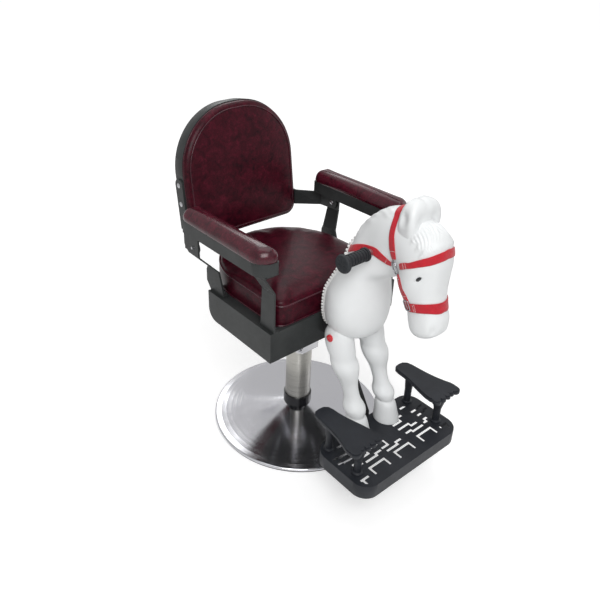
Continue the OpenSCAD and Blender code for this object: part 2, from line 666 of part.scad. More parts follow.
// pad rings: draw-in and height, the upper ones swell over the tray edge
function pad_rings(n) = let (low = tray_sheet + fit_gap, edge = tray_z + tray_depth + soft_gap, up = pad_top - edge,
    w = arm_width / 2, rows = concat(
        [[low + over, pad_z], [low, pad_z + tray_sheet], [low, edge]],
        [for (s = [[0.02, 0.02], [-0.06, 0.12], [-0.08, 0.34], [-0.03, 0.52], [0.10, 0.70], [0.28, 0.84],
            [0.50, 0.94], [0.74, 0.99], [0.92, 1]]) [s[0] * w, edge + up * s[1]]]))
    [for (s = rows) [for (p = plate_pts(tray_in, tray_out, tray_front, tray_rear,
        [tray_corner * 2, tray_nose, tray_corner * 2, tray_corner * 2], s[0], n)) [p[0], p[1], s[1]]]];

module arm_pad(side) color([0.45, 0.12, 0.2]) on_side(side) skin(pad_rings(6));

// bolts down through the post feet into the seat box ledge
module arm_bolts() color([0.7, 0.7, 0.72]) for (side = [-1, 1]) on_side(side)
    for (q = [for (k = foot_hole_share) [post_front + post_width * k, 0],
        for (k = foot_hole_share) [rear_low_y - rear_foot_flare + rear_low_width * k, 0]])
        translate([post_out - post_foot * 0.62, q[0], box_top]) {
            cylinder(r = bolt_r * 0.75, h = post_thick);
            translate([0, 0, post_thick]) cylinder(r = bolt_head_r * 0.75, h = bolt_head * 0.8, $fn = 6);
        }

// back

// the back is drawn flat, X across, Y up the slope, Z forward, then stood up
module stand_back() translate([0, back_y, back_z]) rotate([90 - back_lean, 0, 0]) children();
module back_plan(d) plate2(-back_r + d, back_r - d, d, back_length - d,
    [back_low_r - d, back_low_r - d, back_top_r - d, back_top_r - d], $fn = round_fn);

module back_shell() color([0.3, 0.31, 0.3]) stand_back() {
    difference() {
        linear_extrude(shell_depth) back_plan(0);
        translate([0, 0, shell_sheet]) linear_extrude(shell_depth) back_plan(shell_sheet);
        for (v = [bracket_high, bracket_high - bracket_drop]) translate([-back_r - over, v, shell_depth / 2])
            rotate([0, 90, 0]) cylinder(r = bolt_r, h = 2 * back_r + 2 * over);
    }
    for (k = [0.22, 0.5, 0.76]) translate([-rib_half, back_length * k - rib_width / 2, shell_sheet])
        cube([2 * rib_half, rib_width, back_rib]);
}

module back_board() color([0.72, 0.58, 0.4]) stand_back() translate([0, 0, shell_sheet + back_rib])
    linear_extrude(back_board_thick) back_plan(shell_sheet + fit_gap);

function back_rings(n) = let (low = shell_sheet + fit_gap, z0 = shell_sheet + back_rib + back_board_thick + soft_gap,
    edge = shell_depth + soft_gap, rows = concat([[low + over, z0], [low, z0 + over], [low, edge]],
        [for (s = [[0.014, 0.05], [0.018, 0.36], [0.026, 0.56], [0.052, 0.70], [0.075, 0.74], [0.10, 0.72],
            [0.16, 0.80], [0.30, 0.90], [0.55, 0.98], [0.85, 1]]) [s[0] * back_r, edge + pad_front * s[1]]]))
    [for (s = rows) [for (p = plate_pts(-back_r, back_r, 0, back_length, [back_low_r, back_low_r, back_top_r, back_top_r],
        s[0], n)) [p[0], p[1], s[1]]]];

module back_pad() color([0.36, 0.1, 0.16]) stand_back() skin(back_rings(9));

// side bracket: one bent bar from the shell side to the rear arm post
bracket_in = back_r;
bracket_front_x = post_out + rear_jog_out - 2 * post_thick;
bracket_front_y = rear_high_y + rear_high_width * 0.35;
bracket_turn_y = tray_rear + 8;
bracket_back_y = back_y - bracket_width;
bracket_z = box_top + rear_jog_high + bracket_end + 4;
module bracket_plan() polygon([
    [bracket_in, bracket_back_y + bracket_thick], [bracket_in + bracket_thick, bracket_back_y + bracket_thick],
    [bracket_in + bracket_thick, bracket_back_y],
    [bracket_front_x + bracket_thick, bracket_turn_y], [bracket_front_x + bracket_thick, bracket_front_y - bracket_end],
    [bracket_front_x, bracket_front_y - bracket_end], [bracket_front_x, bracket_turn_y - over],
    [bracket_in, bracket_back_y - over]]);
module bracket_arm(y) {
    translate([bracket_front_y, bracket_z]) circle(bracket_end);
    polygon([[bracket_front_y, bracket_z - bracket_end], [y, bracket_z - bracket_width * 0.7],
        [y, bracket_z + bracket_width * 0.5], [bracket_front_y, bracket_z + bracket_end]]);
}
module bracket_leaf() translate([back_y, back_z]) rotate(90 - back_lean) {
    translate([bracket_high, shell_depth / 2]) circle(bracket_end - over);
    translate([bracket_low, shell_depth / 2 - bracket_end + over]) square([bracket_high - bracket_low, 2 * bracket_end - 2 * over]);
}
module back_bracket(side) color([0.3, 0.31, 0.3]) on_side(side) difference() {
    union() {
        intersection() {
            translate([0, 0, bracket_z - bracket_width]) linear_extrude(bracket_width * 2) bracket_plan();
            along_x(0, box_width) bracket_arm(back_y);
        }
        along_x(bracket_in, bracket_thick) union() {
            bracket_leaf();
            intersection() {
                bracket_arm(back_y - over);
                translate([bracket_back_y + over, 0]) square(2 * box_width);
            }
        }
    }
    translate([0, bracket_front_y, bracket_z]) rotate([0, 90, 0]) cylinder(r = bolt_r, h = box_width);
    stand_back() for (v = [bracket_high, bracket_high - bracket_drop]) translate([0, v, shell_depth / 2]) rotate([0, 90, 0])
        cylinder(r = bolt_r, h = box_width);
}

// bolts through the bracket into the shell side and the arm post
module bracket_bolts() color([0.7, 0.7, 0.72]) for (side = [-1, 1]) on_side(side) {
    stand_back() for (v = [bracket_high, bracket_high - bracket_drop]) translate([bracket_in - shell_sheet, v, shell_depth / 2])
        rotate([0, 90, 0]) dome_bolt(shell_sheet + bracket_thick);
    translate([bracket_front_x + 2 * bracket_thick + bolt_head, bracket_front_y, bracket_z]) rotate([0, -90, 0])
        dome_bolt(2 * bracket_thick + bolt_head);
}

// round-headed bolt: shank of the given length from its foot, then its head
module dome_bolt(length) rotate_extrude() union() {
    square([bolt_r, length]);
    intersection() {
        translate([0, length]) square([bolt_head_r, bolt_head]);
        translate([0, length - bolt_head_r]) circle(bolt_head_r * 1.5);
    }
}

// pony

function pony_y(s) = pony_back - s * pony_length;
function pony_h(s) = pony_z + s * pony_height;
// ring table row at a fractional place
function row_at(s) = let (i = min(floor(s), len(pony_share) - 2), f = s - i)
    pony_share[i] * (1 - f) + pony_share[i + 1] * f;
// point of the skin at ring place s and angle a, held off by d
function skin_pt(s, a, d) = let (r = row_at(s), p = [pony_y(r[0]), pony_h(r[1])], q = [pony_y(r[2]), pony_h(r[3])],
    c = (p + q) / 2, h = norm(p - q) / 2, u = (p - q) / (2 * h), w = r[4] * pony_half_width,
    ca = cos(a), sa = sin(a), e = pow(abs(sa), 0.86) * sign(sa),
    n = norm([ca / h, sa / w]))
    [e * w + sa / w / n * d, c[0] + u[0] * (ca * h + ca / h / n * d), c[1] + u[1] * (ca * h + ca / h / n * d)];
function hold(p) = [p[0], min(p[1], pony_back), p[2]];
function pony_ring(s) = [for (k = [0:ring_sides - 1]) hold(skin_pt(s, -k * 360 / ring_sides, 0))];

module pony_skin() skin([for (i = [0:len(pony_share) - 1]) pony_ring(i)]);

module ear(side) let (y = pony_y(ear_at_share[0]), z = pony_h(ear_at_share[1]), x = ear_at_share[2] * pony_half_width)
    on_side(side) translate([x, y, z]) rotate([ear_lean, ear_splay, 0])
        skin([for (r = ear_share) [for (k = [0:11]) let (a = k * 30)
            [r[2] * ear_half * cos(a) * 0.8 + r[1] * ear_half, r[3] * ear_half * 0.62 * sin(a), r[0] * ear_length]]]);

bar_y = pony_y(bar_share[0]);
bar_z = pony_h(bar_share[1]);
bar_r = bar_diameter / 2;
eye_y = pony_y(eye_share[0]);
eye_z = pony_h(eye_share[1]);
eye_x = eye_rise_share * pony_half_width * 0.80;

module pony_body() color([0.93, 0.94, 0.95]) difference() {
    union() {
        pony_skin();
        ear(1);
        ear(-1);
    }
    translate([-pony_half_width - over, bar_y, bar_z]) rotate([0, 90, 0])
        cylinder(r = bar_r + run_gap, h = 2 * pony_half_width + 2 * over);
    for (x = [-1, 1]) translate([x * (eye_x + eye_r2), eye_y, eye_z]) rotate([0, 90, 0])
        cylinder(r = eye_r2, h = 2 * eye_r2, center = true);
}

module pony_eyes() color([0.03, 0.03, 0.035]) for (side = [-1, 1]) on_side(side) translate([eye_x, eye_y, eye_z]) rotate([0, 90, 0])
    rotate_extrude() intersection() {
        translate([0, 0]) square([eye_r2, eye_r2 * 2]);
        circle(eye_r2 * 1.25);
    }

leg_bottom = deck_top;
leg_high = shoulder_z - leg_bottom;
leg_run = shoulder_y - (deck_rear - leg_half * 1.1);
module leg_skin(side) skin([for (r = [for (i = [len(leg_share) - 1:-1:0]) leg_share[i]])
    [for (k = [0:leg_sides - 1]) let (a = k * 360 / leg_sides)
        [side * (r[0] * pony_half_width + r[3] * leg_half * cos(side * a)),
            shoulder_y - r[1] * leg_run + r[4] * leg_half * sin(side * a), leg_bottom + r[2] * leg_high]]]);

module pony_leg(side) color([0.93, 0.94, 0.95]) difference() {
    leg_skin(side);
    pony_skin();
    translate([side > 0 ? cap_x - cap_depth : -cap_x - cap_depth, cap_y, cap_z]) rotate([0, 90, 0])
        cylinder(r = cap_r, h = 2 * cap_depth);
}

module leg_caps() color([0.8, 0.1, 0.12]) for (side = [-1, 1]) on_side(side) translate([cap_x - cap_depth, cap_y, cap_z])
    rotate([0, 90, 0]) rotate_extrude() union() {
        square([cap_r, cap_depth]);
        intersection() {
            translate([0, cap_depth]) square([cap_r, cap_rise]);
            translate([0, cap_depth - cap_r]) circle(cap_r * 1.4);
        }
    }

module pony_bracket() color([0.2, 0.2, 0.205]) difference() {
    translate([-pony_half_width * 0.62, pony_back, box_z + box_height * 0.3])
        cube([pony_half_width * 1.24, box_front - pony_back, box_height * 0.68]);
    translate([-pony_half_width * 0.62 + post_thick, pony_back + post_thick, box_z])
        cube([pony_half_width * 1.24 - 2 * post_thick, box_front - pony_back, box_height * 2]);
}

// beaded edge along the rear rim of the body, held just off its skin
trim_low = 2.0;
trim_high = 7.0;
trim_steps = 22;
function rim_angle(s) = s < 5 ? 62 - 4 * (s - trim_low) : 50 - (s - 5) * 50 / (trim_high - 5);
trim_side = [for (i = [0:trim_steps]) let (s = trim_low + (trim_high - trim_low) * i / trim_steps)
    skin_pt(s, rim_angle(s), bead_r + strap_gap)];
trim_path = concat(trim_side, [for (i = [trim_steps - 1:-1:0]) let (p = trim_side[i]) [-p[0], p[1], p[2]]]);
trim_ends = concat([0], [for (i = 1, d = norm(trim_path[1] - trim_path[0]); i < len(trim_path);
    i = i + 1, d = d + (i < len(trim_path) ? norm(trim_path[i] - trim_path[i - 1]) : 0)) d]);
trim_run = trim_ends[len(trim_ends) - 1];
function trim_at(d) = let (n = len(trim_path), e = min(max(d, 0), trim_run),
    i = min(max([for (k = [0:n - 1]) if (trim_ends[k] <= e) k]), n - 2),
    f = (e - trim_ends[i]) / (trim_ends[i + 1] - trim_ends[i]))
    trim_path[i] * (1 - f) + trim_path[i + 1] * f;
bead_count = floor(trim_run / bead_pitch);
bead_size_share = [0.62, 0.96, 0.96];
module bead_trim() color([0.9, 0.9, 0.9]) {
    n = bead_count * 3;
    skin([for (i = [0:n]) let (d = trim_run * i / n, c = trim_at(d),
        t0 = trim_at(d + bead_pitch) - trim_at(d - bead_pitch), t = t0 / norm(t0),
        s0 = cross(t, [0, 1, 0]), s = s0 / norm(s0), v = cross(s, t), r = bead_r * bead_size_share[i % 3])
        [for (k = [0:5]) c + r * (cos(-60 * k) * s + sin(-60 * k) * v)]]);
}

module handle_bar() color([0.6, 0.6, 0.62]) translate([-bar_reach + over, bar_y, bar_z]) rotate([0, 90, 0])
    difference() {
        cylinder(r = bar_r, h = 2 * bar_reach - 2 * over);
        translate([0, 0, -over]) cylinder(r = bar_r - rail_wall, h = 2 * bar_reach + 2 * over);
    }

module grip(side) color([0.05, 0.055, 0.06]) on_side(side) translate([bar_reach - grip_length, bar_y, bar_z])
    rotate([0, 90, 0]) difference() {
        union() {
            cylinder(r = bar_r + grip_wall - rib_depth, h = grip_length);
            for (i = [0:grip_ribs - 1]) translate([0, 0, grip_length * (i + 0.8) / (grip_ribs + 1.6)])
                cylinder(r = bar_r + grip_wall, h = grip_length / (grip_ribs + 1.6) * 0.55);
            cylinder(r = bar_r + grip_flange * 0.7, h = flange_t);
            translate([0, 0, grip_length - flange_t]) cylinder(r = bar_r + grip_flange, h = flange_t);
        }
        translate([0, 0, -over]) cylinder(r = bar_r, h = grip_length);
    }

// halter

// one station of a strap: edge, middle, edge, inner and then outer
function strap_st(p) = let (m = [(p[0] + p[2]) / 2, (p[1] + p[3]) / 2], h = strap_gap + strap_thick)
    [skin_pt(p[0], p[1], strap_gap), skin_pt(m[0], m[1], strap_gap), skin_pt(p[2], p[3], strap_gap),
        skin_pt(p[2], p[3], h), skin_pt(m[0], m[1], h), skin_pt(p[0], p[1], h)];
function finer(tab, n) = concat([for (i = [0:len(tab) - 2]) for (k = [0:n - 1])
    tab[i] + (tab[i + 1] - tab[i]) * k / n], [tab[len(tab) - 1]]);
function turned(tab) = [for (i = [len(tab) - 1:-1:1]) [tab[i][0], -tab[i][1], tab[i][2], -tab[i][3]]];

module strap(tab, n) color([0.82, 0.13, 0.2]) skin([for (p = let (t = finer(tab, n)) concat(turned(t), t)) strap_st(p)]);

module head_strap() strap(head_share, 6);
module brow_band() strap(brow_share, 5);
module reins() strap(rein_share, 4);

module nose_band() color([0.82, 0.13, 0.2]) loop_skin([for (k = [0:2 * ring_sides - 1])
    let (a = k * 180 / ring_sides, s = lookup(a > 180 ? 360 - a : a, nose_share)) strap_st([s, a, s + nose_width, a])]);

module cheek_straps() color([0.82, 0.13, 0.2]) for (side = [-1, 1]) skin([for (p = finer(cheek_share, 3))
    let (a = side > 0 ? p[1] : p[2], b = side > 0 ? p[2] : p[1]) [skin_pt(p[0], side * a, strap_gap),
        skin_pt(p[0], side * b, strap_gap), skin_pt(p[0], side * b, strap_gap + strap_thick),
        skin_pt(p[0], side * a, strap_gap + strap_thick)]]);

module halter_rings() color([0.75, 0.75, 0.77]) for (side = [-1, 1]) {
    c = skin_pt(ring_at_share[0], side * ring_at_share[1], ring_wire + strap_thick + strap_gap / 2);
    n = skin_pt(ring_at_share[0], side * ring_at_share[1], ring_r) - c;
    translate(c) rotate([0, acos(n[2] / norm(n)), atan2(n[1], n[0])]) rotate_extrude() translate([ring_r, 0])
        circle(ring_wire);
}

// footrest

strut_top_y = box_front + 6;
strut_low_y = deck_rear + strut_thick / 2;
strut_low_z = deck_top - deck_sheet;
module footrest_strut() color([0.1, 0.1, 0.105]) along_x(-strut_width / 2, strut_width) polygon([
    [strut_top_y + strut_tail, box_z], [strut_top_y + strut_tail, box_z - strut_thick],
    [strut_top_y, box_z - strut_thick],
    [strut_low_y + strut_thick, strut_low_z + strut_thick], [strut_low_y + strut_thick, strut_low_z - strut_thick],
    [strut_low_y - strut_toe, strut_low_z - strut_thick], [strut_low_y - strut_toe, strut_low_z],
    [strut_low_y, strut_low_z], [strut_low_y, strut_low_z + strut_thick * 1.5],
    [strut_top_y - strut_thick, box_z - strut_thick], [strut_top_y - strut_thick, box_z]]);

// cut-outs, one stroke per row as [x, y, length, along] in shares of the deck's half width and half depth:
// first the middle ones, then those that both sides have
mid_key_share = [[-0.149, -0.490, 0.297, 0], [-0.149, -0.706, 0.216, 1], [0.149, -0.706, 0.216, 1],
    [-0.223, -0.176, 0.114, 0], [-0.109, -0.176, 0.176, 1],
    [-0.198, -0.333, 0.208, 0], [0.010, -0.333, 0.088, 1], [0.010, -0.245, 0.099, 0]];
side_key_share = [[0.356, -0.471, 0.287, 0], [0.356, -0.686, 0.216, 1], [0.644, -0.686, 0.216, 1],
    [0.772, -0.647, 0.118, 0], [0.872, -0.794, 0.147, 1],
    [0.282, -0.196, 0.099, 0], [0.381, -0.265, 0.069, 1], [0.381, -0.265, 0.208, 0],
    [0.248, 0.029, 0.208, 0], [0.455, -0.078, 0.108, 1], [0.455, -0.078, 0.109, 0],
    [0.248, 0.235, 0.158, 0], [0.406, 0.235, 0.157, 1], [0.406, 0.392, 0.089, 0],
    [0.198, 0.451, 0.069, 0], [0.267, 0.451, 0.088, 1], [0.267, 0.539, 0.069, 0],
    [0.693, 0.294, 0.129, 0], [0.713, 0.088, 0.129, 0], [0.612, 0.598, 0.099, 0],
    [0.871, 0.323, 0.050, 0], [0.876, 0.137, 0.050, 0],
    [0.663, -0.225, 0.050, 0], [0.713, -0.225, 0.098, 1], [0.713, -0.127, 0.069, 0]];

module key_cuts(strokes) for (k = strokes) translate([k[0] * deck_width / 2 - key_width / 2,
    (deck_rear + deck_front) / 2 + k[1] * deck_depth / 2 - key_width / 2])
    square(k[3] == 0 ? [k[2] * deck_width / 2 + key_width, key_width] : [key_width, k[2] * deck_depth / 2 + key_width]);

module deck_keys() {
    key_cuts(mid_key_share);
    key_cuts(side_key_share);
    mirror([1, 0]) key_cuts(side_key_share);
}

module deck_plan(d) plate2(-deck_width / 2 + d, deck_width / 2 - d, deck_front + d, deck_rear - d,
    [for (i = [0:3]) deck_corner - d]);

module footrest_deck() color([0.24, 0.25, 0.27]) difference() {
    translate([0, 0, deck_top - deck_skirt]) linear_extrude(deck_skirt) deck_plan(0);
    translate([0, 0, deck_top - deck_skirt - over]) linear_extrude(deck_skirt - deck_sheet + over) deck_plan(deck_sheet);
    translate([0, 0, deck_top - deck_sheet - over]) linear_extrude(deck_sheet + 2 * over) intersection() {
        deck_keys();
        deck_plan(deck_sheet * 4);
    }
    translate([-strut_width / 2 - strut_clear, deck_rear - deck_sheet - over, deck_top - deck_skirt - over])
        cube([strut_width + 2 * strut_clear, deck_sheet + 2 * over, deck_skirt - deck_sheet + over]);
    for (x = [-1, 1]) for (q = pedal_feet) translate([x * q[0], q[1], deck_top - deck_sheet - over])
        cylinder(r = bolt_r, h = deck_sheet + 2 * over);
}

module sole(k) {
    polygon([for (p = sole_share) [p[0] * pedal_half * k, -pedal_length * (0.5 + (p[1] - 0.5) * k)]]);
    for (t = toe_share) translate([t[0] * pedal_half * k, -pedal_length * (0.5 + (t[1] - 0.5) * k)])
        circle(t[2] * pedal_half * k);
}

pedal_z = deck_top + pedal_height;
// each post: X, Y and the radius that it spreads to under the sole
pedal_feet = [[pedal_x, pedal_heel_y - pedal_length * 0.24, post_flare],
    [pedal_x, pedal_heel_y - pedal_length * 0.78, post_spread]];
module pedal(side) color([0.24, 0.25, 0.27]) on_side(side) translate([pedal_x, pedal_heel_y, pedal_z]) {
    linear_extrude(pedal_thick - pedal_bevel) sole(1);
    translate([0, 0, pedal_thick - pedal_bevel]) linear_extrude(pedal_bevel) sole(pedal_bevel_share);
}

module pedal_posts(side) color([0.2, 0.2, 0.22]) on_side(side) for (q = pedal_feet) translate([q[0], q[1], deck_top])
    rotate_extrude() polygon([[0, 0], [post_flare, 0], [post_flare, flare_height / 2], [post_r, flare_height],
        [post_r, pedal_height * 0.45], [q[2] - over, pedal_height - flare_height],
        [q[2], pedal_height - flare_height / 2], [q[2], pedal_height], [0, pedal_height]]);

// nodes

floor_pad();
weight_plate();
base_dish();
pump_tube();
pump_band();
pump_head();
gland_bush();
lever_shaft();
foot_lever();
lever_tread();
lift_rod();
lift_piston();
thrust_washer();
seat_hub();
mount_rails();
mount_bolts();
seat_box();
seat_board();
seat_cushion();
front_post(-1);  // front_post_l
front_post(1);  // front_post_r
rear_post(-1);  // rear_post_l
rear_post(1);  // rear_post_r
arm_tray(-1);  // arm_tray_l
arm_tray(1);  // arm_tray_r
arm_board(-1);  // arm_board_l
arm_board(1);  // arm_board_r
arm_pad(-1);  // arm_pad_l
arm_pad(1);  // arm_pad_r
arm_bolts();
back_bracket(-1);  // back_bracket_l
back_bracket(1);  // back_bracket_r
bracket_bolts();
back_shell();
back_board();
back_pad();
pony_bracket();
pony_body();
pony_leg(-1);  // pony_leg_l
pony_leg(1);  // pony_leg_r
leg_caps();
pony_eyes();
bead_trim();
handle_bar();
grip(-1);  // grip_l
grip(1);  // grip_r
head_strap();
brow_band();
nose_band();
cheek_straps();
reins();
halter_rings();
footrest_strut();
footrest_deck();
pedal(-1);  // pedal_l
pedal(1);  // pedal_r
pedal_posts(-1);  // pedal_posts_l
pedal_posts(1);  // pedal_posts_r
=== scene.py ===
"""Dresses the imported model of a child's salon chair: vinyl cushions, a moulded pony, webbing, paint and chrome."""

import logging
import math
from dataclasses import dataclass, field
from enum import Enum
from typing import Iterable, Sequence

import bmesh
import bpy
import numpy as np
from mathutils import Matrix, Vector


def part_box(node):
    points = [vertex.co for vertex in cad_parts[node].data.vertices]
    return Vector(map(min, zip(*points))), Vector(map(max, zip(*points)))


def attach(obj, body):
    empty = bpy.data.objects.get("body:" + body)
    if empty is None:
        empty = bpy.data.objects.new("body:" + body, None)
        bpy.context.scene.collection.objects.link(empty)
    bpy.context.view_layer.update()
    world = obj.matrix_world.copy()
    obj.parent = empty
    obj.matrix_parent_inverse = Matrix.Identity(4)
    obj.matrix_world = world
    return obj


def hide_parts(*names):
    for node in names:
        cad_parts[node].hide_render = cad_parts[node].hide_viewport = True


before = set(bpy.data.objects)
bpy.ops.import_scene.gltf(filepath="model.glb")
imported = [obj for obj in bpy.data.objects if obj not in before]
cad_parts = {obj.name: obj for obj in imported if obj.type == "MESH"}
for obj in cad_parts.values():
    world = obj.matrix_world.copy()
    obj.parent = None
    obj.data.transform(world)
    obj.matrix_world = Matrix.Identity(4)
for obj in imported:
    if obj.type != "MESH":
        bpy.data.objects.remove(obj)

LOG = logging.getLogger("salon_chair")
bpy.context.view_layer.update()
MM = 0.001
TURN = 2 * math.pi
WELD_GAP = 0.00002
BEND_ANGLE = math.radians(38)
NEARLY_PLUMB = 0.1
CLOTH = {
    "quality": 6, "mass": 0.4, "use_pressure": True,
    "tension_stiffness": 18.0, "compression_stiffness": 18.0, "shear_stiffness": 8.0, "bending_stiffness": 2.5,
}
Colour = Place = tuple[float, float, float]
Points = np.ndarray
Faces = list[tuple[int, ...]]
Material = bpy.types.Material
Object = bpy.types.Object


class Body(Enum):
    """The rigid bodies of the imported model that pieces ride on."""

    BASE = "base"
    HEAD = "pump_head_body"
    LEVER = "lever"
    SEAT = "seat"


class Side(Enum):
    """The two sides of the chair, as the sign of X."""

    LEFT = -1
    RIGHT = 1

    @property
    def tag(self) -> str:
        """The node ending of this side."""
        return "l" if self is Side.LEFT else "r"

    def shared(self, node: str) -> list[str]:
        """The node that both sides' pieces stand for, named with the left one."""
        return [node] if self is Side.LEFT else []


# shader maths


class Wire:
    """One value in a shader, on which arithmetic adds Math nodes."""

    def __init__(self, graph: "Graph", socket: bpy.types.NodeSocket) -> None:
        """Wraps an output socket of a graph."""
        self.graph = graph
        self.socket = socket

    def math(self, operation: str, *others: "Wire | float", first: bool = True) -> "Wire":
        """Adds one Math node for this value, first or last, and others."""
        values = (self, *others) if first else (*others, self)
        return self.graph.wire("ShaderNodeMath", {"operation": operation}, dict(enumerate(values)))

    def __add__(self, other: "Wire | float") -> "Wire":
        """Sum."""
        return self.math("ADD", other)

    __radd__ = __add__

    def __sub__(self, other: "Wire | float") -> "Wire":
        """Difference."""
        return self.math("SUBTRACT", other)

    def __rsub__(self, other: "Wire | float") -> "Wire":
        """Difference from a number."""
        return self.math("SUBTRACT", other, first=False)

    def __mul__(self, other: "Wire | float") -> "Wire":
        """Product."""
        return self.math("MULTIPLY", other)

    __rmul__ = __mul__

    def __truediv__(self, other: "Wire | float") -> "Wire":
        """Quotient."""
        return self.math("DIVIDE", other)

    def __pow__(self, other: "Wire | float") -> "Wire":
        """Power."""
        return self.math("POWER", other)

    def __abs__(self) -> "Wire":
        """Size without sign."""
        return self.math("ABSOLUTE")

    def sine(self) -> "Wire":
        """Sine."""
        return self.math("SINE")

    def ramp(self, low: float, high: float) -> "Wire":
        """Rises smoothly from 0 at low to 1 at high."""
        inputs = {"Value": self, "From Min": low, "From Max": high}
        return self.graph.wire("ShaderNodeMapRange", {"interpolation_type": "SMOOTHSTEP"}, inputs)


class Graph:
    """The node tree of a material or of the world."""

    def __init__(self, owner: "Material | bpy.types.World", end: str) -> None:
        """Clears the owner's nodes and adds its output node.

        Args:
            owner: The material or the world.
            end: The type of its output node.
        """
        owner.use_nodes = True
        self.tree = owner.node_tree
        self.tree.nodes.clear()
        self.out = self.node(end)

    def node(
        self,
        kind: str,
        settings: dict[str, object] | None = None,
        inputs: dict[str | int, "Wire | float | tuple"] | None = None,
    ) -> bpy.types.Node:
        """Adds a node of any kind.

        Args:
            kind: Blender's node type.
            settings: Properties that are set first; stops fills a colour ramp.
            inputs: Values or wires by socket name or number.

        Returns:
            The node.
        """
        node = self.tree.nodes.new(kind)
        for key, value in (settings or {}).items():
            if key == "stops":
                self._stops(node.color_ramp, value)
            else:
                setattr(node, key, value)
        for key, value in (inputs or {}).items():
            socket = node.inputs[key]
            if isinstance(value, Wire):
                self.tree.links.new(value.socket, socket)
            else:
                socket.default_value = value
        return node

    @staticmethod
    def _stops(ramp: bpy.types.ColorRamp, stops: Sequence[tuple[float, Colour]]) -> None:
        """Fills a colour ramp with (place, colour) stops.

        Args:
            ramp: The ramp.
            stops: The stops.
        """
        while len(ramp.elements) > 1:
            ramp.elements.remove(ramp.elements[-1])
        for index, (place, tint) in enumerate(stops):
            element = ramp.elements[0] if index == 0 else ramp.elements.new(place)
            element.position = place
            element.color = (*tint, 1.0)

    def wire(self, kind: str, settings: dict[str, object] | None, inputs: dict, output: int | str = 0) -> Wire:
        """Adds a node and returns one of its outputs."""
        return Wire(self, self.node(kind, settings, inputs).outputs[output])

    def seen(self, glossy: float) -> Wire:
        """Tells rays that show a surface from those that only light it.

        Args:
            glossy: The share for reflections.

        Returns:
            1 for the camera and for clear pieces, the share for reflections, else 0.
        """
        rays = self.node("ShaderNodeLightPath")
        kinds = ("Camera", "Glossy", "Transmission")
        camera, shine, through = (Wire(self, rays.outputs[f"Is {kind} Ray"]) for kind in kinds)
        return (camera + shine * glossy + through).math("MINIMUM", 1.0)


class Surface(Graph):
    """One material's node tree round a Principled shader."""

    def __init__(self, name: str, **constants: float | Colour) -> None:
        """Makes the material.

        Args:
            name: The material's name.
            constants: Values for the shader's own sockets, with _ for a blank.
        """
        self.material = bpy.data.materials.new(name)
        super().__init__(self.material, "ShaderNodeOutputMaterial")
        self.shader = self.node("ShaderNodeBsdfPrincipled")
        self.tree.links.new(self.shader.outputs[0], self.out.inputs["Surface"])
        for key, value in constants.items():
            self.set(key.replace("_", " "), value)

    def set(self, socket: str, value: "Wire | float | Colour") -> None:
        """Sets or links one of the shader's sockets.

        Args:
            socket: The socket's name, in any case.
            value: A number, a colour or a wire.
        """
        target = next(s for s in self.shader.inputs if s.name.lower() == socket.lower())
        if isinstance(value, Wire):
            self.tree.links.new(value.socket, target)
        elif isinstance(value, tuple):
            target.default_value = (*value, 1.0)
        else:
            target.default_value = value

    def place(self, output: str = "Object", stretch: Place | None = None) -> Wire:
        """Coordinates, stretched by axis where asked.

        Args:
            output: The Texture Coordinate output.
            stretch: The factor along each axis.

        Returns:
            The coordinates.
        """
        wire = self.wire("ShaderNodeTexCoord", None, {}, output)
        if stretch is None:
            return wire
        return self.wire("ShaderNodeVectorMath", {"operation": "MULTIPLY"}, {0: wire, 1: stretch})

    def parts(self, vector: Wire) -> tuple[Wire, ...]:
        """Splits a vector into its three numbers."""
        return tuple(Wire(self, out) for out in self.node("ShaderNodeSeparateXYZ", None, {0: vector}).outputs)

    def noise(
        self, scale: float, detail: float = 4.0, rough: float = 0.5, twist: float = 0.0, at: Wire | None = None
    ) -> Wire:
        """Noise from 0 to 1, with its scale in blotches to a metre and its detail in octaves."""
        inputs = {"Vector": at or self.place(), "Scale": scale, "Detail": detail, "Roughness": rough}
        return self.wire("ShaderNodeTexNoise", None, {**inputs, "Distortion": twist})

    def cells(self, scale: float, feature: str = "F1") -> Wire:
        """Voronoi distance, with so many cells in a metre."""
        return self.wire("ShaderNodeTexVoronoi", {"feature": feature}, {"Vector": self.place(), "Scale": scale})

    def tint(self, share: Wire, stops: Sequence[tuple[float, Colour]]) -> Wire:
        """Colour by a share, from (place, colour) stops."""
        return self.wire("ShaderNodeValToRGB", {"stops": stops}, {0: share})

    def blend(self, share: Wire, low: "Wire | Colour", high: Colour) -> Wire:
        """Mixes two colours by a share of the second."""
        first = low if isinstance(low, Wire) else (*low, 1.0)
        return self.wire("ShaderNodeMix", {"data_type": "RGBA"}, {0: share, 6: first, 7: (*high, 1.0)}, 2)

    def cover(
        self, colour: Wire, rough: Wire, height: Wire | None = None, strength: float = 1.0, depth_mm: float = 0.0
    ) -> Material:
        """Links a colour, a roughness and a bump to the shader.

        Args:
            colour: The base colour.
            rough: The roughness.
            height: The bump's height from 0 to 1, where it has one.
            strength: The bump's strength.
            depth_mm: The depth of one unit of height.

        Returns:
            The material.
        """
        self.set("Base Color", colour)
        self.set("Roughness", rough)
        if height is not None:
            inputs = {"Strength": strength, "Distance": depth_mm * MM, "Height": height}
            self.set("Normal", self.wire("ShaderNodeBump", None, inputs))
        return self.material


# finishes


def tone(tint: Colour, gain: float, lift: float = 0.0) -> Colour:
    """A colour made lighter or darker."""
    return tuple(min(1.0, c * gain + lift) for c in tint)


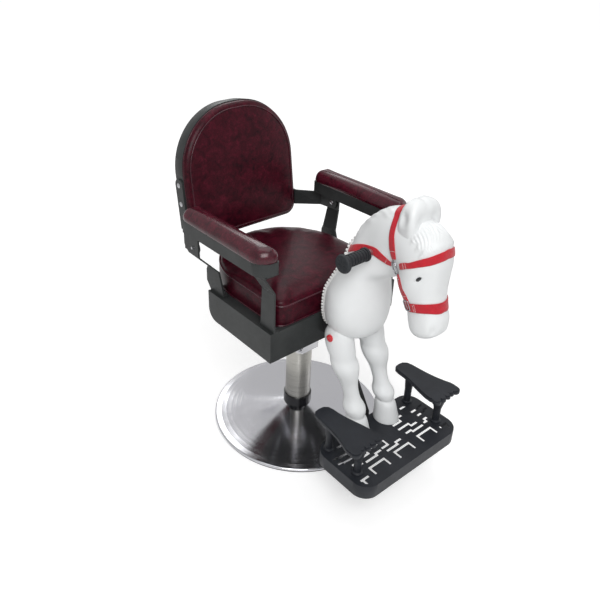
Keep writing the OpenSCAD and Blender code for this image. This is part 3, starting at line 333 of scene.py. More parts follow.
@dataclass(frozen=True)
class Powder:
    """Powder coat with a fine orange-peel skin."""

    name: str
    tint: Colour
    roughness: float
    peel_mm: float = 0.12

    def make(self) -> Material:
        """Makes the material.

        Returns:
            The material.
        """
        g = Surface(self.name, Metallic=0.0, Specular_IOR_Level=0.3)
        stops = [(0.3, tone(self.tint, 0.84)), (0.7, tone(self.tint, 1.22, 0.004))]
        rough = self.roughness + (g.noise(60.0, 3.0) - 0.5) * 0.16
        height = g.noise(900.0, 2.0) * 0.7 + g.noise(240.0, 2.0) * 0.3
        return g.cover(g.tint(g.noise(14.0, 5.0, 0.6), stops), rough, height, 0.35, self.peel_mm)


@dataclass(frozen=True)
class Metal:
    """Bare or plated metal, with brushing along rings round Z where it has any."""

    name: str
    tint: Colour
    roughness: float
    brushing: float = 0.0
    pits_mm: float = 0.0

    def make(self) -> Material:
        """Makes the material.

        Returns:
            The material.
        """
        g = Surface(self.name, Metallic=1.0)
        if self.brushing:
            lines = g.noise(1.0, 6.0, 0.75, at=g.place(stretch=(9.0, 9.0, 1400.0)))
            colour = g.tint(lines, [(0.35, tone(self.tint, 1 - 0.35 * self.brushing)), (0.65, self.tint)])
            rough = self.roughness + (lines - 0.5) * 0.25 * self.brushing
            return g.cover(colour, rough, lines, 0.25 * self.brushing, 0.05)
        smear = g.noise(26.0, 5.0, 0.62, 0.6)
        colour = g.blend(smear.ramp(0.45, 0.8) * 0.25, self.tint, tone(self.tint, 0.9))
        pits = g.noise(400.0, 4.0, 0.7) if self.pits_mm else None
        return g.cover(colour, self.roughness + smear.ramp(0.4, 0.75) * 0.05, pits, 0.6, self.pits_mm)


@dataclass(frozen=True)
class Vinyl:
    """Marbled upholstery vinyl: dark smoky veins in a wine ground, with a pressed leather grain."""

    name: str
    deep: Colour
    mid: Colour
    pale: Colour
    roughness: float
    shine: float = 0.12

    def make(self) -> Material:
        """Makes the material.

        Returns:
            The material.
        """
        g = Surface(self.name, Specular_IOR_Level=self.shine, Coat_Roughness=0.2, Coat_Weight=self.shine * 0.4)
        smoke = g.noise(34.0, 8.0, 0.62, 0.9)
        veins = 1.0 - abs(g.noise(58.0, 6.0, 0.6, 1.6) - 0.5) * 7.0
        spots = g.noise(190.0, 5.0, 0.68, 0.5)
        ground = g.tint(smoke * 0.62 + spots * 0.38, [(0.36, self.deep), (0.5, self.mid), (0.66, self.pale)])
        colour = g.blend(veins.ramp(0.15, 1.0) * spots.ramp(0.38, 0.62) * 0.72, ground, self.deep)
        grain = g.cells(760.0, "DISTANCE_TO_EDGE").ramp(0.0, 0.16)
        height = grain * 0.6 + g.noise(1500.0, 2.0) * 0.2 + smoke * 0.4
        strength = 0.34 - 0.6 * min(self.shine, 0.5)
        return g.cover(colour, self.roughness + (spots - 0.5) * 0.12, height, strength, 0.22)


@dataclass(frozen=True)
class Moulding:
    """Moulded plastic with a soft mottle and a faint skin texture."""

    name: str
    tint: Colour
    roughness: float
    mottle: float
    skin_mm: float = 0.1

    def make(self) -> Material:
        """Makes the material.

        Returns:
            The material.
        """
        g = Surface(self.name, Specular_IOR_Level=0.5, Coat_Weight=0.06, Coat_Roughness=0.3)
        stops = [(0.35, tone(self.tint, 1 - self.mottle)), (0.65, self.tint)]
        rough = self.roughness + (g.noise(34.0, 4.0) - 0.5) * 0.14
        return g.cover(g.tint(g.noise(11.0, 4.0, 0.55), stops), rough, g.noise(520.0, 3.0, 0.6), 0.3, self.skin_mm)


@dataclass(frozen=True)
class Rubber:
    """Matt rubber with a stippled skin and a trace of dust."""

    name: str
    tint: Colour
    roughness: float = 0.62
    stipple: float = 620.0

    def make(self) -> Material:
        """Makes the material.

        Returns:
            The material.
        """
        g = Surface(self.name, Specular_IOR_Level=0.4)
        dust = g.noise(48.0, 5.0, 0.65).ramp(0.45, 0.8)
        colour = g.blend(dust * 0.4, self.tint, tone(self.tint, 2.1, 0.012))
        return g.cover(colour, self.roughness + dust * 0.12, g.cells(self.stipple).ramp(0.0, 0.7), 0.5, 0.25)


@dataclass(frozen=True)
class Webbing:
    """Woven nylon tape; its UV runs in metres along and across the tape."""

    name: str
    tint: Colour
    pick_mm: float = 1.5

    def make(self) -> Material:
        """Makes the material.

        Returns:
            The material.
        """
        g = Surface(self.name, Specular_IOR_Level=0.35, Sheen_Weight=0.25, Sheen_Roughness=0.5)
        along, across, _ = g.parts(g.place("UV"))
        turn = TURN / (self.pick_mm * MM)
        weft = (along * turn + (across * turn * 1.6).sine() * 0.9).sine() * 0.5 + 0.5
        warp = (across * turn * 1.35).sine() * 0.5 + 0.5
        weave = weft * 0.65 + warp * 0.35
        ground = g.tint(weave, [(0.1, tone(self.tint, 0.62)), (0.75, self.tint)])
        colour = g.blend(g.noise(90.0, 3.0).ramp(0.35, 0.75) * 0.35, ground, tone(self.tint, 1.25))
        return g.cover(colour, 0.5 + (1.0 - weave) * 0.2, weave, 0.6, 0.3)


@dataclass(frozen=True)
class Thread:
    """Twisted sewing thread."""

    name: str
    tint: Colour

    def make(self) -> Material:
        """Makes the material.

        Returns:
            The material.
        """
        g = Surface(self.name, Specular_IOR_Level=0.3)
        x, y, z = g.parts(g.place())
        twist = ((x + y * 0.8 + z * 0.6) * 5200.0).sine() * 0.5 + 0.5
        colour = g.tint(twist, [(0.0, tone(self.tint, 0.75)), (1.0, self.tint)])
        return g.cover(colour, 0.6 + twist * 0.1, twist, 0.5, 0.12)


@dataclass(frozen=True)
class Plywood:
    """Plain rotary-cut ply."""

    name: str
    tint: Colour

    def make(self) -> Material:
        """Makes the material.

        Returns:
            The material.
        """
        g = Surface(self.name)
        grain = g.noise(1.0, 6.0, 0.65, 0.4, at=g.place(stretch=(12.0, 90.0, 400.0)))
        colour = g.tint(grain, [(0.3, tone(self.tint, 0.6)), (0.7, self.tint)])
        return g.cover(colour, 0.6 + grain * 0.15, grain, 0.4, 0.2)


# mesh making


def unit(vectors: Points) -> Points:
    """Vectors brought to length one."""
    return vectors / np.linalg.norm(vectors, axis=-1, keepdims=True)


def towards(here: Points, *others: Points) -> tuple[Points, ...]:
    """Unit vectors from one point to others."""
    return tuple(unit(other - here) for other in others)


def circle(count: int) -> Points:
    """Even angles of a full turn."""
    return np.linspace(0, TURN, count, endpoint=False)


def oval(turn: Points, radii: tuple[float, float], u: Points, v: Points) -> Points:
    """Points round an ellipse that has its radii along two vectors."""
    return radii[0] * np.outer(np.cos(turn), u) + radii[1] * np.outer(np.sin(turn), v)


def squarish(value: Points, power: float) -> Points:
    """A power that keeps its sign, which squares a round section off."""
    return np.sign(value) * np.abs(value) ** power


def shrunk(ring: Points, share: float, middle: Points) -> Points:
    """A ring drawn in towards a point."""
    return middle + (ring - middle) * share


def level(plan: Points, z: float) -> Points:
    """Flat points set at a height."""
    return np.column_stack([plan, np.full(len(plan), z)])


def mirrored_on(half: Points) -> Points:
    """A path that ends on the middle plane, run on over its mirror image."""
    return np.concatenate([half, (half * [-1, 1, 1])[-2::-1]])


def run_along(path: Points) -> Points:
    """Lengths from a path's first point to each of its points."""
    return np.concatenate([[0], np.cumsum(np.linalg.norm(np.diff(path, axis=0), axis=1))])


def spaced(path: Points, count: int, ends: bool = True) -> Points:
    """Points at even lengths along a path.

    Args:
        path: The points.
        count: How many points.
        ends: Whether the last point is among them.

    Returns:
        The points.
    """
    run = run_along(path)
    at = np.linspace(0, run[-1], count, endpoint=ends)
    return np.stack([np.interp(at, run, column) for column in path.T], 1)


def build(
    name: str, points: Points, faces: Faces, uvs: Points | None = None, smooth: bool = True, outward: bool = True
) -> Object:
    """Makes a mesh object.

    Args:
        name: The object's name.
        points: An (n, 3) array in millimetres.
        faces: The faces.
        uvs: An (n, 2) array in metres, one for each point.
        smooth: Whether its faces are smooth.
        outward: Whether its faces are turned outward, for a closed mesh.

    Returns:
        The object, at the origin.
    """
    mesh = bpy.data.meshes.new(name)
    mesh.from_pydata((np.asarray(points, float) * MM).tolist(), [], faces)
    mesh.polygons.foreach_set("use_smooth", [smooth] * len(mesh.polygons))
    if uvs is not None:
        layer = mesh.uv_layers.new(name="UVMap")
        index = np.empty(len(mesh.loops), int)
        mesh.loops.foreach_get("vertex_index", index)
        layer.data.foreach_set("uv", np.asarray(uvs, float)[index].ravel())
    mesh.validate()
    mesh.update()
    if outward:
        bm = bmesh.new()
        bm.from_mesh(mesh)
        bmesh.ops.recalc_face_normals(bm, faces=bm.faces)
        bm.to_mesh(mesh)
        bm.free()
    obj = bpy.data.objects.new(name, mesh)
    bpy.context.scene.collection.objects.link(obj)
    return obj


def grid_faces(rows: int, columns: int, closed: bool = False, capped: bool = False) -> Faces:
    """Quads over loops of points.

    Args:
        rows: The number of loops.
        columns: The points in each loop.
        closed: Whether the last loop joins the first.
        capped: Whether the first and last loops are filled.

    Returns:
        The faces.
    """
    faces = []
    for j in range(rows if closed else rows - 1):
        below, above = j * columns, (j + 1) % rows * columns
        for i in range(columns):
            after = (i + 1) % columns
            faces.append((below + i, below + after, above + after, above + i))
    if capped:
        faces += [tuple(reversed(range(columns))), tuple(range((rows - 1) * columns, rows * columns))]
    return faces


def loft(name: str, rings: Sequence[Points], closed: bool = False) -> Object:
    """Skins rings of equal count.

    Args:
        name: The object's name.
        rings: The rings in millimetres.
        closed: Whether the last ring joins the first; else both ends are filled to their middles.

    Returns:
        The object.
    """
    rows, columns = len(rings), len(rings[0])
    points, faces = np.concatenate(rings), grid_faces(rows, columns, closed)
    if not closed:
        points = np.concatenate([points, [rings[0].mean(0)], [rings[-1].mean(0)]])
        end, last = rows * columns, (rows - 1) * columns
        faces += [(end, (i + 1) % columns, i) for i in range(columns)]
        faces += [(end + 1, last + i, last + (i + 1) % columns) for i in range(columns)]
    return build(name, points, faces)


class Heap:
    """Closed pieces that are gathered into one mesh."""

    def __init__(self) -> None:
        """Starts empty."""
        self.points: list[Points] = []
        self.faces: Faces = []

    def add(self, points: Points, faces: Faces) -> None:
        """Adds one piece.

        Args:
            points: Its points.
            faces: Its faces, numbered from 0.
        """
        start = sum(len(p) for p in self.points)
        self.points.append(points)
        self.faces += [tuple(start + i for i in face) for face in faces]

    def build(self, name: str, smooth: bool = True) -> Object:
        """Makes the mesh."""
        return build(name, np.concatenate(self.points), self.faces, smooth=smooth)


def frames_along(path: Points, closed: bool = False) -> tuple[Points, Points]:
    """Unit vectors square to a path, carried along it without twist.

    Args:
        path: The points.
        closed: Whether the path is a loop.

    Returns:
        Two arrays of vectors.
    """
    tangents = unit(np.roll(path, -1, 0) - np.roll(path, 1, 0) if closed else np.gradient(path, axis=0))
    side = np.cross(tangents[0], [0.0, 0.0, 1.0])
    if np.linalg.norm(side) < NEARLY_PLUMB:
        side = np.cross(tangents[0], [0.0, 1.0, 0.0])
    sides = []
    for t in tangents:
        side = unit(side - t * side.dot(t))
        sides.append(side)
    return np.array(sides), np.cross(tangents, np.array(sides))


def cord_rings(path: Points, radius: float, sides: int, closed: bool = False) -> list[Points]:
    """The sections of a round cord.

    Args:
        path: The points of its middle.
        radius: Its radius.
        sides: Points in a section.
        closed: Whether it is a loop.

    Returns:
        The sections.
    """
    turn = circle(sides)
    wheel = np.stack([np.cos(turn), np.sin(turn)], 1) * radius
    return [p + wheel @ np.array(pair) for p, *pair in zip(path, *frames_along(path, closed))]


def cord_mesh(name: str, path: Points, radius: float, sides: int = 10, closed: bool = False) -> Object:
    """A round cord along a path or loop, with so many sides."""
    return loft(name, cord_rings(path, radius, sides, closed), closed)


def lathe(name: str, profile: Sequence[tuple[float, float]], side: Side, middle: Place, count: int) -> Object:
    """Turns a profile about a line along X.

    Args:
        name: The object's name.
        profile: Rows of (radius, length outward along X) in millimetres.
        side: The side that it looks to.
        middle: The point of the line that the lengths run from.
        count: Points round it.

    Returns:
        The object.
    """
    turn = circle(count)
    wheel = np.stack([np.zeros(count), np.cos(turn), np.sin(turn)], 1)
    out = np.array([side.value, 0.0, 0.0])
    return loft(name, [middle + along * out + max(radius, 0.01) * wheel for radius, along in profile])


def curve_rows(table: Points, steps: int) -> Points:
    """Catmull-Rom rows between the rows of a table, so many steps from one to the next."""
    places = np.linspace(0, len(table) - 1, (len(table) - 1) * steps + 1)
    return np.array([row_between(table, s) for s in places])


def row_between(table: Points, s: float) -> Points:
    """One row of a table at a fractional place, on a Catmull-Rom curve.

    Args:
        table: The rows.
        s: The place.

    Returns:
        The row.
    """
    i = int(min(max(math.floor(s), 0), len(table) - 2))
    f = s - i
    p0, p1 = table[max(i - 1, 0)], table[i]
    p2, p3 = table[i + 1], table[min(i + 2, len(table) - 1)]
    return 0.5 * (2 * p1 + (p2 - p0) * f + (2 * p0 - 5 * p1 + 4 * p2 - p3) * f * f + (3 * p1 - p0 - 3 * p2 + p3) * f**3)


def ease(value: Points | float, low: float, high: float) -> Points:
    """Smooth step from 0 at low to 1 at high."""
    t = np.clip((np.asarray(value, float) - low) / (high - low), 0, 1)
    return t * t * (3 - 2 * t)


def modify(obj: Object, kind: str, **settings: object) -> bpy.types.Modifier:
    """Adds a modifier.

    Args:
        obj: The object.
        kind: Blender's modifier type.
        settings: Its properties.

    Returns:
        The modifier.
    """
    modifier = obj.modifiers.new(kind.lower(), kind)
    for key, value in settings.items():
        setattr(modifier, key, value)
    return modifier


def finish_piece(
    obj: Object,
    body: Body,
    material: Material,
    replaces: Iterable[str] = (),
) -> Object:
    """Dresses a new piece and hangs it on its body.

    Args:
        obj: The piece.
        body: The body that it rides on.
        material: Its material.
        replaces: The CAD nodes that it stands for.

    Returns:
        The piece.
    """
    obj.data.materials.clear()
    obj.data.materials.append(material)
    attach(obj, body.value)
    names = list(replaces)
    if names:
        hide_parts(*names)
    LOG.info("%s on %s", obj.name, body.value)
    return obj


def dress(nodes: Iterable[str], material: Material, edge_mm: float) -> None:
    """Gives CAD nodes their material and, for sheet metal, a softened edge.

    Args:
        nodes: The nodes' names.
        material: The material.
        edge_mm: The width of the rounded edges.
    """
    for name in nodes:
        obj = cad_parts[name]
        obj.data.materials.clear()
        obj.data.materials.append(material)
        if edge_mm:
            modify(obj, "WELD", merge_threshold=WELD_GAP)
            modify(obj, "BEVEL", width=edge_mm * MM, segments=2, limit_method="ANGLE", angle_limit=BEND_ANGLE)
        LOG.info("%s dressed", name)


def puff(obj: Object, pinned: Sequence[int], pressure: float, cap_mm: float, frames: int = 16) -> None:
    """Swells a pad between its pinned seams with a cloth simulation.

    Args:
        obj: The pad.
        pinned: The points that stay.
        pressure: The air pressure.
        cap_mm: The furthest that a point may move.
        frames: How many frames run.
    """
    group = obj.vertex_groups.new(name="pinned")
    group.add(list(pinned), 1.0, "REPLACE")
    start = np.array([v.co for v in obj.data.vertices])
    cloth = modify(obj, "CLOTH")
    for key, value in CLOTH.items():
        setattr(cloth.settings, key, value)
    cloth.settings.vertex_group_mass = group.name
    cloth.settings.uniform_pressure_force = pressure
    cloth.settings.effector_weights.gravity = 0.0
    cloth.point_cache.frame_start, cloth.point_cache.frame_end = 1, frames
    for number in range(1, frames + 1):
        bpy.context.scene.frame_set(number)
    graph = bpy.context.evaluated_depsgraph_get()
    moved = np.array([v.co for v in obj.evaluated_get(graph).data.vertices])
    obj.modifiers.clear()
    step = moved - start
    size = np.linalg.norm(step, axis=1)
    step *= np.where(size > cap_mm * MM, cap_mm * MM / np.maximum(size, 1e-9), 1.0)[:, None]
    for vertex, place in zip(obj.data.vertices, start + step):
        vertex.co = place
    bpy.context.scene.frame_set(1)
    LOG.info("%s puffed, most %.1f mm", obj.name, size.max() / MM)


def outline(x: float, low: float, high: float, radii: Sequence[float], count: int) -> Points:
    """A symmetric plan with its own radius at each corner, evenly spaced.

    Args:
        x: Half the width.
        low: The lower edge.
        high: The upper edge.
        radii: Low-left, low-right, high-right and high-left radii.
        count: How many points.

    Returns:
        The points, anticlockwise from the middle of the low edge.
    """
    corners = [(-x, low, 1, 1, 180), (x, low, -1, 1, 270), (x, high, -1, -1, 0), (-x, high, 1, -1, 90)]
    ring = []
    for (cx, cy, sx, sy, start), r in zip(corners, radii):
        for turn in np.radians(np.linspace(start, start + 90, 24)):
            ring.append((cx + sx * r + r * math.cos(turn), cy + sy * r + r * math.sin(turn)))
    return spaced(np.array([*ring, ring[0]]), count, ends=False)


def inset(ring: Points, by: float) -> Points:
    """Draws a plan in, square to its edge, by a length."""
    ahead = unit(np.roll(ring, -1, 0) - np.roll(ring, 1, 0))
    return ring + by * np.stack([-ahead[:, 1], ahead[:, 0]], 1)


# the pony


@dataclass
class PonySkin:
    """The pony's lofted skin, from a table of rings in shares of its size."""

    back: float = -172.0
    low: float = 462.0
    length: float = 340.0
    height: float = 440.0
    half: float = 90.0
    table: Points = field(
        default_factory=lambda: np.array(
            [
                [0.120, 0.030, 0.275, 0.032, 0.33], [0.030, 0.046, 0.350, 0.046, 0.68],
                [-0.030, 0.085, 0.390, 0.083, 0.93], [-0.045, 0.165, 0.408, 0.155, 1.09],
                [-0.045, 0.258, 0.408, 0.250, 1.13], [-0.030, 0.356, 0.396, 0.342, 1.09],
                [0.030, 0.456, 0.395, 0.418, 0.98], [0.085, 0.550, 0.415, 0.472, 0.84],
                [0.130, 0.648, 0.450, 0.508, 0.74], [0.175, 0.748, 0.500, 0.530, 0.66],
                [0.260, 0.845, 0.545, 0.547, 0.59], [0.385, 0.928, 0.575, 0.563, 0.57],
                [0.515, 0.970, 0.592, 0.580, 0.57], [0.650, 0.978, 0.604, 0.592, 0.60],
                [0.780, 0.945, 0.608, 0.596, 0.64], [0.878, 0.900, 0.610, 0.592, 0.67],
                [0.935, 0.850, 0.614, 0.570, 0.70], [0.960, 0.760, 0.626, 0.540, 0.69],
                [0.958, 0.668, 0.646, 0.504, 0.64], [0.960, 0.580, 0.678, 0.460, 0.56],
                [0.982, 0.498, 0.714, 0.404, 0.50], [1.016, 0.425, 0.738, 0.345, 0.53],
                [1.016, 0.356, 0.768, 0.298, 0.51], [0.975, 0.308, 0.810, 0.275, 0.38],
                [0.930, 0.290, 0.845, 0.270, 0.18],
            ]
        )
    )

    def point(self, s: float, a: Points | float, lift: Points | float = 0.0) -> Points:
        """Points of the skin.

        Args:
            s: The ring place, from 0 at the belly to 24 at the muzzle.
            a: Angles in degrees, 0 at the crest and 180 at the throat.
            lift: How far they stand off the skin.

        Returns:
            An (n, 3) array in millimetres, or one point.
        """
        row = row_between(self.table, s)
        p = np.array([self.back - self.length * row[0], self.low + self.height * row[1]])
        q = np.array([self.back - self.length * row[2], self.low + self.height * row[3]])
        mid, h = (p + q) / 2, np.linalg.norm(p - q) / 2
        u, w = (p - q) / (2 * h), row[4] * self.half
        turn = np.radians(a)
        ca, sa = np.cos(turn), np.sin(turn)
        n = np.sqrt((ca / h) ** 2 + (sa / w) ** 2)
        x = np.abs(sa) ** 0.86 * np.sign(sa) * w + sa / w / n * lift
        along = ca * h + ca / h / n * lift
        return np.stack([x, mid[0] + u[0] * along, mid[1] + u[1] * along], -1)

    def held(self, points: Points) -> Points:
        """Flattens what would pass the back plane.

        Args:
            points: The points.

        Returns:
            The points, none behind the plane.
        """
        points = points.copy()
        points[..., 1] = np.minimum(points[..., 1], self.back)
        return points


@dataclass
class Pony:
    """The moulded pony: body, ears, legs, caps, eyes and the beaded edge."""

    skin: PonySkin = field(default_factory=PonySkin)
    around: int = 288
    rows_between: int = 8
    bead_r: float = 3.9
    bead_pitch: float = 10.2
    deck_top: float = 180.0
    leg_half: float = 34.0
    shoulder: tuple[float, float] = (-230.0, 509.0)
    hoof_y: float = -335.4
    eye_lift: float = -5.4
    eye_r: tuple[float, float] = (9.2, 7.2)
    lid_r: tuple[float, float] = (10.6, 8.4)
    lid_wire: float = 2.0
    lip_wire: float = 3.4

    def hair(self, s: float, a: Points | float, combed: bool = True) -> Points | float:
        """Height of the mane and forelock over the plain skin.

        Args:
            s: The ring place.
            a: Angles in degrees, from -180 to 180.
            combed: Whether the strands show, or only what lies over them.

        Returns:
            Heights in millimetres.
        """
        wide = np.abs(a)
        edge = math.sin(s * 5)
        mane = ease(s, 8.6, 9.4) * (1 - ease(s, 12.9, 13.6)) * (1 - ease(wide, 24 + 4 * edge, 40 + 5 * edge))
        lock = ease(s, 13.7, 14.2) * (1 - ease(s + 0.004 * wide, 15.85, 16.15))
        lock = lock * (1 - ease(wide - 5 * np.sin(s * 9), 50, 62))
        if not combed:
            return np.maximum(mane * 3.4, lock * 4.6)
        comb = np.abs(np.sin(wide * 0.16 - s * 5.5))
        drift = wide - 7.0 * max(s - 13.6, 0.0) ** 2
        strands = np.abs(np.sin(drift * 0.40 + 0.5 * math.sin(s * 3.0))) ** 0.55
        return mane * (1.6 + 2.2 * comb**0.7) + lock * 3.2 + lock**3 * 4.6 * (strands - 0.7)

    def relief(self, s: float, a: Points) -> Points:
        """Height of the carving over the plain skin.

        Args:
            s: The ring place.
            a: Angles in degrees, from -180 to 180.

        Returns:
            Heights in millimetres.
        """
        wide = np.abs(a)
        lift = self.hair(s, a) + np.zeros_like(a)
        for centre, place, size_a, size_s, deep in (
            (67, 17.15, 13, 0.40, -3.2), (66, 16.85, 20, 0.28, 2.2), (108, 17.6, 24, 1.2, 2.4),
            (38, 21.7, 11, 0.42, -5.0), (56, 21.4, 14, 0.5, 2.2), (95, 20.3, 25, 0.9, -1.4),
        ):
            lift += deep * np.exp(-(((wide - centre) / size_a) ** 2) - ((s - place) / size_s) ** 2)
        mouth = 22.75 - 0.25 * np.cos(np.radians(wide))
        lift -= 1.8 * np.exp(-(((s - mouth) / 0.11) ** 2)) * ease(wide, 52, 78)
        lift += 2.4 * np.exp(-(((s - 4.2) / 1.5) ** 2) - ((wide - 118) / 26) ** 2)
        lift -= 1.6 * np.exp(-(((s - 7.2) / 0.9) ** 2) - ((wide - 150) / 26) ** 2)
        return lift

    def make_body(self, material: Material) -> None:
        """Builds the carved body with its rounded belly and muzzle.

        Args:
            material: The white plastic.
        """
        a = np.linspace(-180, 180, self.around, endpoint=False)
        places = np.linspace(0, 24, 24 * self.rows_between + 1)
        rings = [self.skin.held(self.skin.point(s, a, self.relief(s, a))) for s in places]
        first, last = rings[0], rings[-1]
        for share, drop in ((0.8, 1.4), (0.5, 2.4), (0.2, 2.8)):
            rings.insert(0, shrunk(first, share, first.mean(0)) - [0, 0, drop * 0.6])
        along = unit(last.mean(0) - rings[-4].mean(0))
        for share, drop in ((0.82, 1.6), (0.5, 3.0), (0.2, 3.6)):
            rings.append(shrunk(last, share, last.mean(0)) + along * drop)
        finish_piece(loft("pony_shell", rings), Body.SEAT, material, ["pony_body"])

    def make_ears(self, material: Material) -> None:
        """Builds the broad, blunt pair of ears, moulded as one piece with hollow fronts and sides.

        Args:
            material: The white plastic.
        """
        table = np.array(
            [
                [816.0, 46.0, -420.0, -364.0], [838.0, 51.0, -426.0, -366.0], [856.0, 56.0, -430.0, -368.0],
                [874.0, 59.0, -432.0, -370.0], [891.0, 58.5, -431.0, -372.0], [906.0, 54.5, -427.5, -375.0],
                [917.0, 47.5, -422.5, -379.0], [925.0, 37.5, -416.5, -383.0], [930.0, 23.0, -409.0, -388.0],
                [931.5, 9.0, -402.0, -393.0],
            ]
        )
        turn = circle(96)
        across, along = squarish(np.cos(turn), 0.5), squarish(np.sin(turn), 0.56)
        ahead = np.clip(-along, 0, 1)
        rings = []
        for z, half, front, rear in curve_rows(table, 6):
            x, y = half * across * (0.93 - 0.07 * along), (front + rear) / 2 + (rear - front) / 2 * along
            side_dish = np.exp(-(((y + 396) / 12) ** 2) - ((z - 890) / 17) ** 2) * np.abs(across) ** 4
            face_dish = np.exp(-(((z - 886) / 19) ** 2)) * ahead**2 * np.exp(-(((np.abs(x) - 23) / 19) ** 2))
            parting = np.exp(-((x / 7) ** 2)) * float(ease(z, 862, 925))
            y = y + 8.0 * face_dish + 3.0 * parting * ahead
            rings.append(np.stack([x * (1 - 0.15 * side_dish), y, z - 3.0 * parting], 1))
        ears = loft("pony_ears", rings)
        modify(ears, "SUBSURF", levels=1, render_levels=1)
        finish_piece(ears, Body.SEAT, material)

    def make_eyes(self, material: Material, lid: Material) -> None:
        """Sets a small bulging eye in each socket, with a lid over it.

        Args:
            material: The eye's dark plastic.
            lid: The white plastic.
        """
        lat, lon = np.linspace(-math.pi / 2 + 0.1, math.pi / 2 - 0.1, 14), circle(28)
        sweep = np.radians(np.linspace(-188, 8, 33))
        for side in Side:
            places = ((17.15, 67.5), (17.5, 67.5), (17.15, 60.0))
            here, below, ahead = (self.skin.point(s, a * side.value, self.eye_lift) for s, a in places)
            down, fore = towards(here, below, ahead)
            out = np.cross(down, fore)
            out *= np.sign(out[0] * side.value)
            rim, bulge = oval(lon, self.eye_r, fore, down), self.eye_r[1] * out
            eye = loft(f"pony_eye_{side.tag}", [here + math.sin(b) * bulge + math.cos(b) * rim for b in lat])
            finish_piece(eye, Body.SEAT, material, side.shared("pony_eyes"))
            fold = here + 3.2 * out + oval(sweep, self.lid_r, fore, down)
            finish_piece(cord_mesh(f"pony_lid_{side.tag}", fold, self.lid_wire), Body.SEAT, lid)

    def make_legs(self, material: Material) -> None:
        """Builds both forelegs with round shoulders, knees, fetlocks and hooves.

        Args:
            material: The white plastic.
        """
        table = np.array(
            [
                [0.66, 0.05, 1.012, 0.16, 0.20], [0.66, 0.04, 1.004, 0.50, 0.62], [0.67, 0.01, 0.976, 0.84, 1.00],
                [0.67, 0.00, 0.912, 1.08, 1.28], [0.67, 0.05, 0.830, 1.15, 1.34], [0.67, 0.12, 0.765, 1.13, 1.26],
                [0.68, 0.20, 0.715, 1.06, 1.16], [0.68, 0.29, 0.655, 1.13, 1.26], [0.68, 0.37, 0.590, 1.04, 1.14],
                [0.68, 0.47, 0.510, 0.76, 0.86], [0.68, 0.57, 0.430, 0.65, 0.74], [0.68, 0.67, 0.355, 0.68, 0.77],
                [0.68, 0.76, 0.285, 0.92, 1.00], [0.68, 0.81, 0.240, 0.87, 0.96], [0.68, 0.855, 0.205, 0.72, 0.81],
                [0.68, 0.875, 0.188, 0.79, 0.89], [0.68, 0.90, 0.160, 0.88, 0.98], [0.68, 0.95, 0.080, 1.00, 1.08],
                [0.68, 0.99, 0.012, 1.11, 1.17], [0.68, 0.99, 0.000, 1.08, 1.14],
            ]
        )
        turn = circle(64)
        run, high = self.shoulder[0] - self.hoof_y, self.shoulder[1] - self.deck_top
        for side in Side:
            rings = []
            for row in curve_rows(table, 6):
                x = side.value * (row[0] * self.skin.half + row[3] * self.leg_half * np.cos(turn))
                y = self.shoulder[0] - row[1] * run + row[4] * self.leg_half * np.sin(turn)
                rings.append(np.stack([x, y, np.full_like(x, self.deck_top + max(row[2], 0.0) * high)], 1))
            leg = loft(f"pony_foreleg_{side.tag}", rings)
            finish_piece(leg, Body.SEAT, material, [f"pony_leg_{side.tag}"])

    def make_caps(self, material: Material) -> None:
        """Builds the button caps over the shoulder bolts.

        Args:
            material: The red plastic.
        """
        low, high = (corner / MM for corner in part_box("leg_caps"))
        profile = (
            (9.6, -12.0), (10.4, -11.0), (10.8, -4.0), (10.8, -1.2), (10.3, 0.4), (8.6, 1.6),
            (6.0, 2.0), (3.8, 1.8), (3.0, 1.0), (2.0, 0.9), (0.0, 0.8),
        )
        for side in Side:
            start = (side.value * high.x, (low.y + high.y) / 2, (low.z + high.z) / 2)
            cap = lathe(f"leg_cap_{side.tag}", profile, side, start, 48)
            finish_piece(cap, Body.SEAT, material, ["leg_caps"] if side is Side.RIGHT else [])

    def make_beads(self, material: Material) -> None:
        """Strings the beaded edge along the rear rim, on a thin lip.

        Args:
            material: The trim plastic.
        """
        places = np.linspace(1.4, 8.4, 90)
        angles = np.interp(places, [1.4, 2.0, 4.0, 6.0, 7.5, 8.1, 8.4], [46.5, 47.0, 50.5, 51.5, 48.0, 30.0, 0.0])
        path = mirrored_on(np.array([self.skin.point(s, a, 5.6) for s, a in zip(places, angles)]))
        lat, lon = np.linspace(-math.pi / 2 + 0.12, math.pi / 2 - 0.12, 7), circle(12)
        ball = np.array([[math.cos(b) * math.cos(c), math.cos(b) * math.sin(c), math.sin(b)] for b in lat for c in lon])
        heap = Heap()
        for centre in spaced(path, int(run_along(path)[-1] / self.bead_pitch)):
            heap.add(centre + self.bead_r * ball, grid_faces(len(lat), len(lon), capped=True))
        finish_piece(heap.build("bead_edge"), Body.SEAT, material, ["bead_trim"])
        lip = mirrored_on(np.array([self.skin.point(s, a + 0.8, 1.4) for s, a in zip(places, angles)]))
        finish_piece(cord_mesh("bead_lip", lip, self.lip_wire, 8), Body.SEAT, material)

    def build_all(self, white: Material, trim: Material, dark: Material, red: Material) -> None:
        """Builds the whole pony.

        Args:
            white: The body's plastic.
            trim: The beads' plastic.
            dark: The eyes' plastic.
            red: The caps' plastic.
        """
        self.make_body(white)
        self.make_ears(white)
        self.make_eyes(dark, white)
        self.make_legs(white)
        self.make_caps(red)
        self.make_beads(trim)


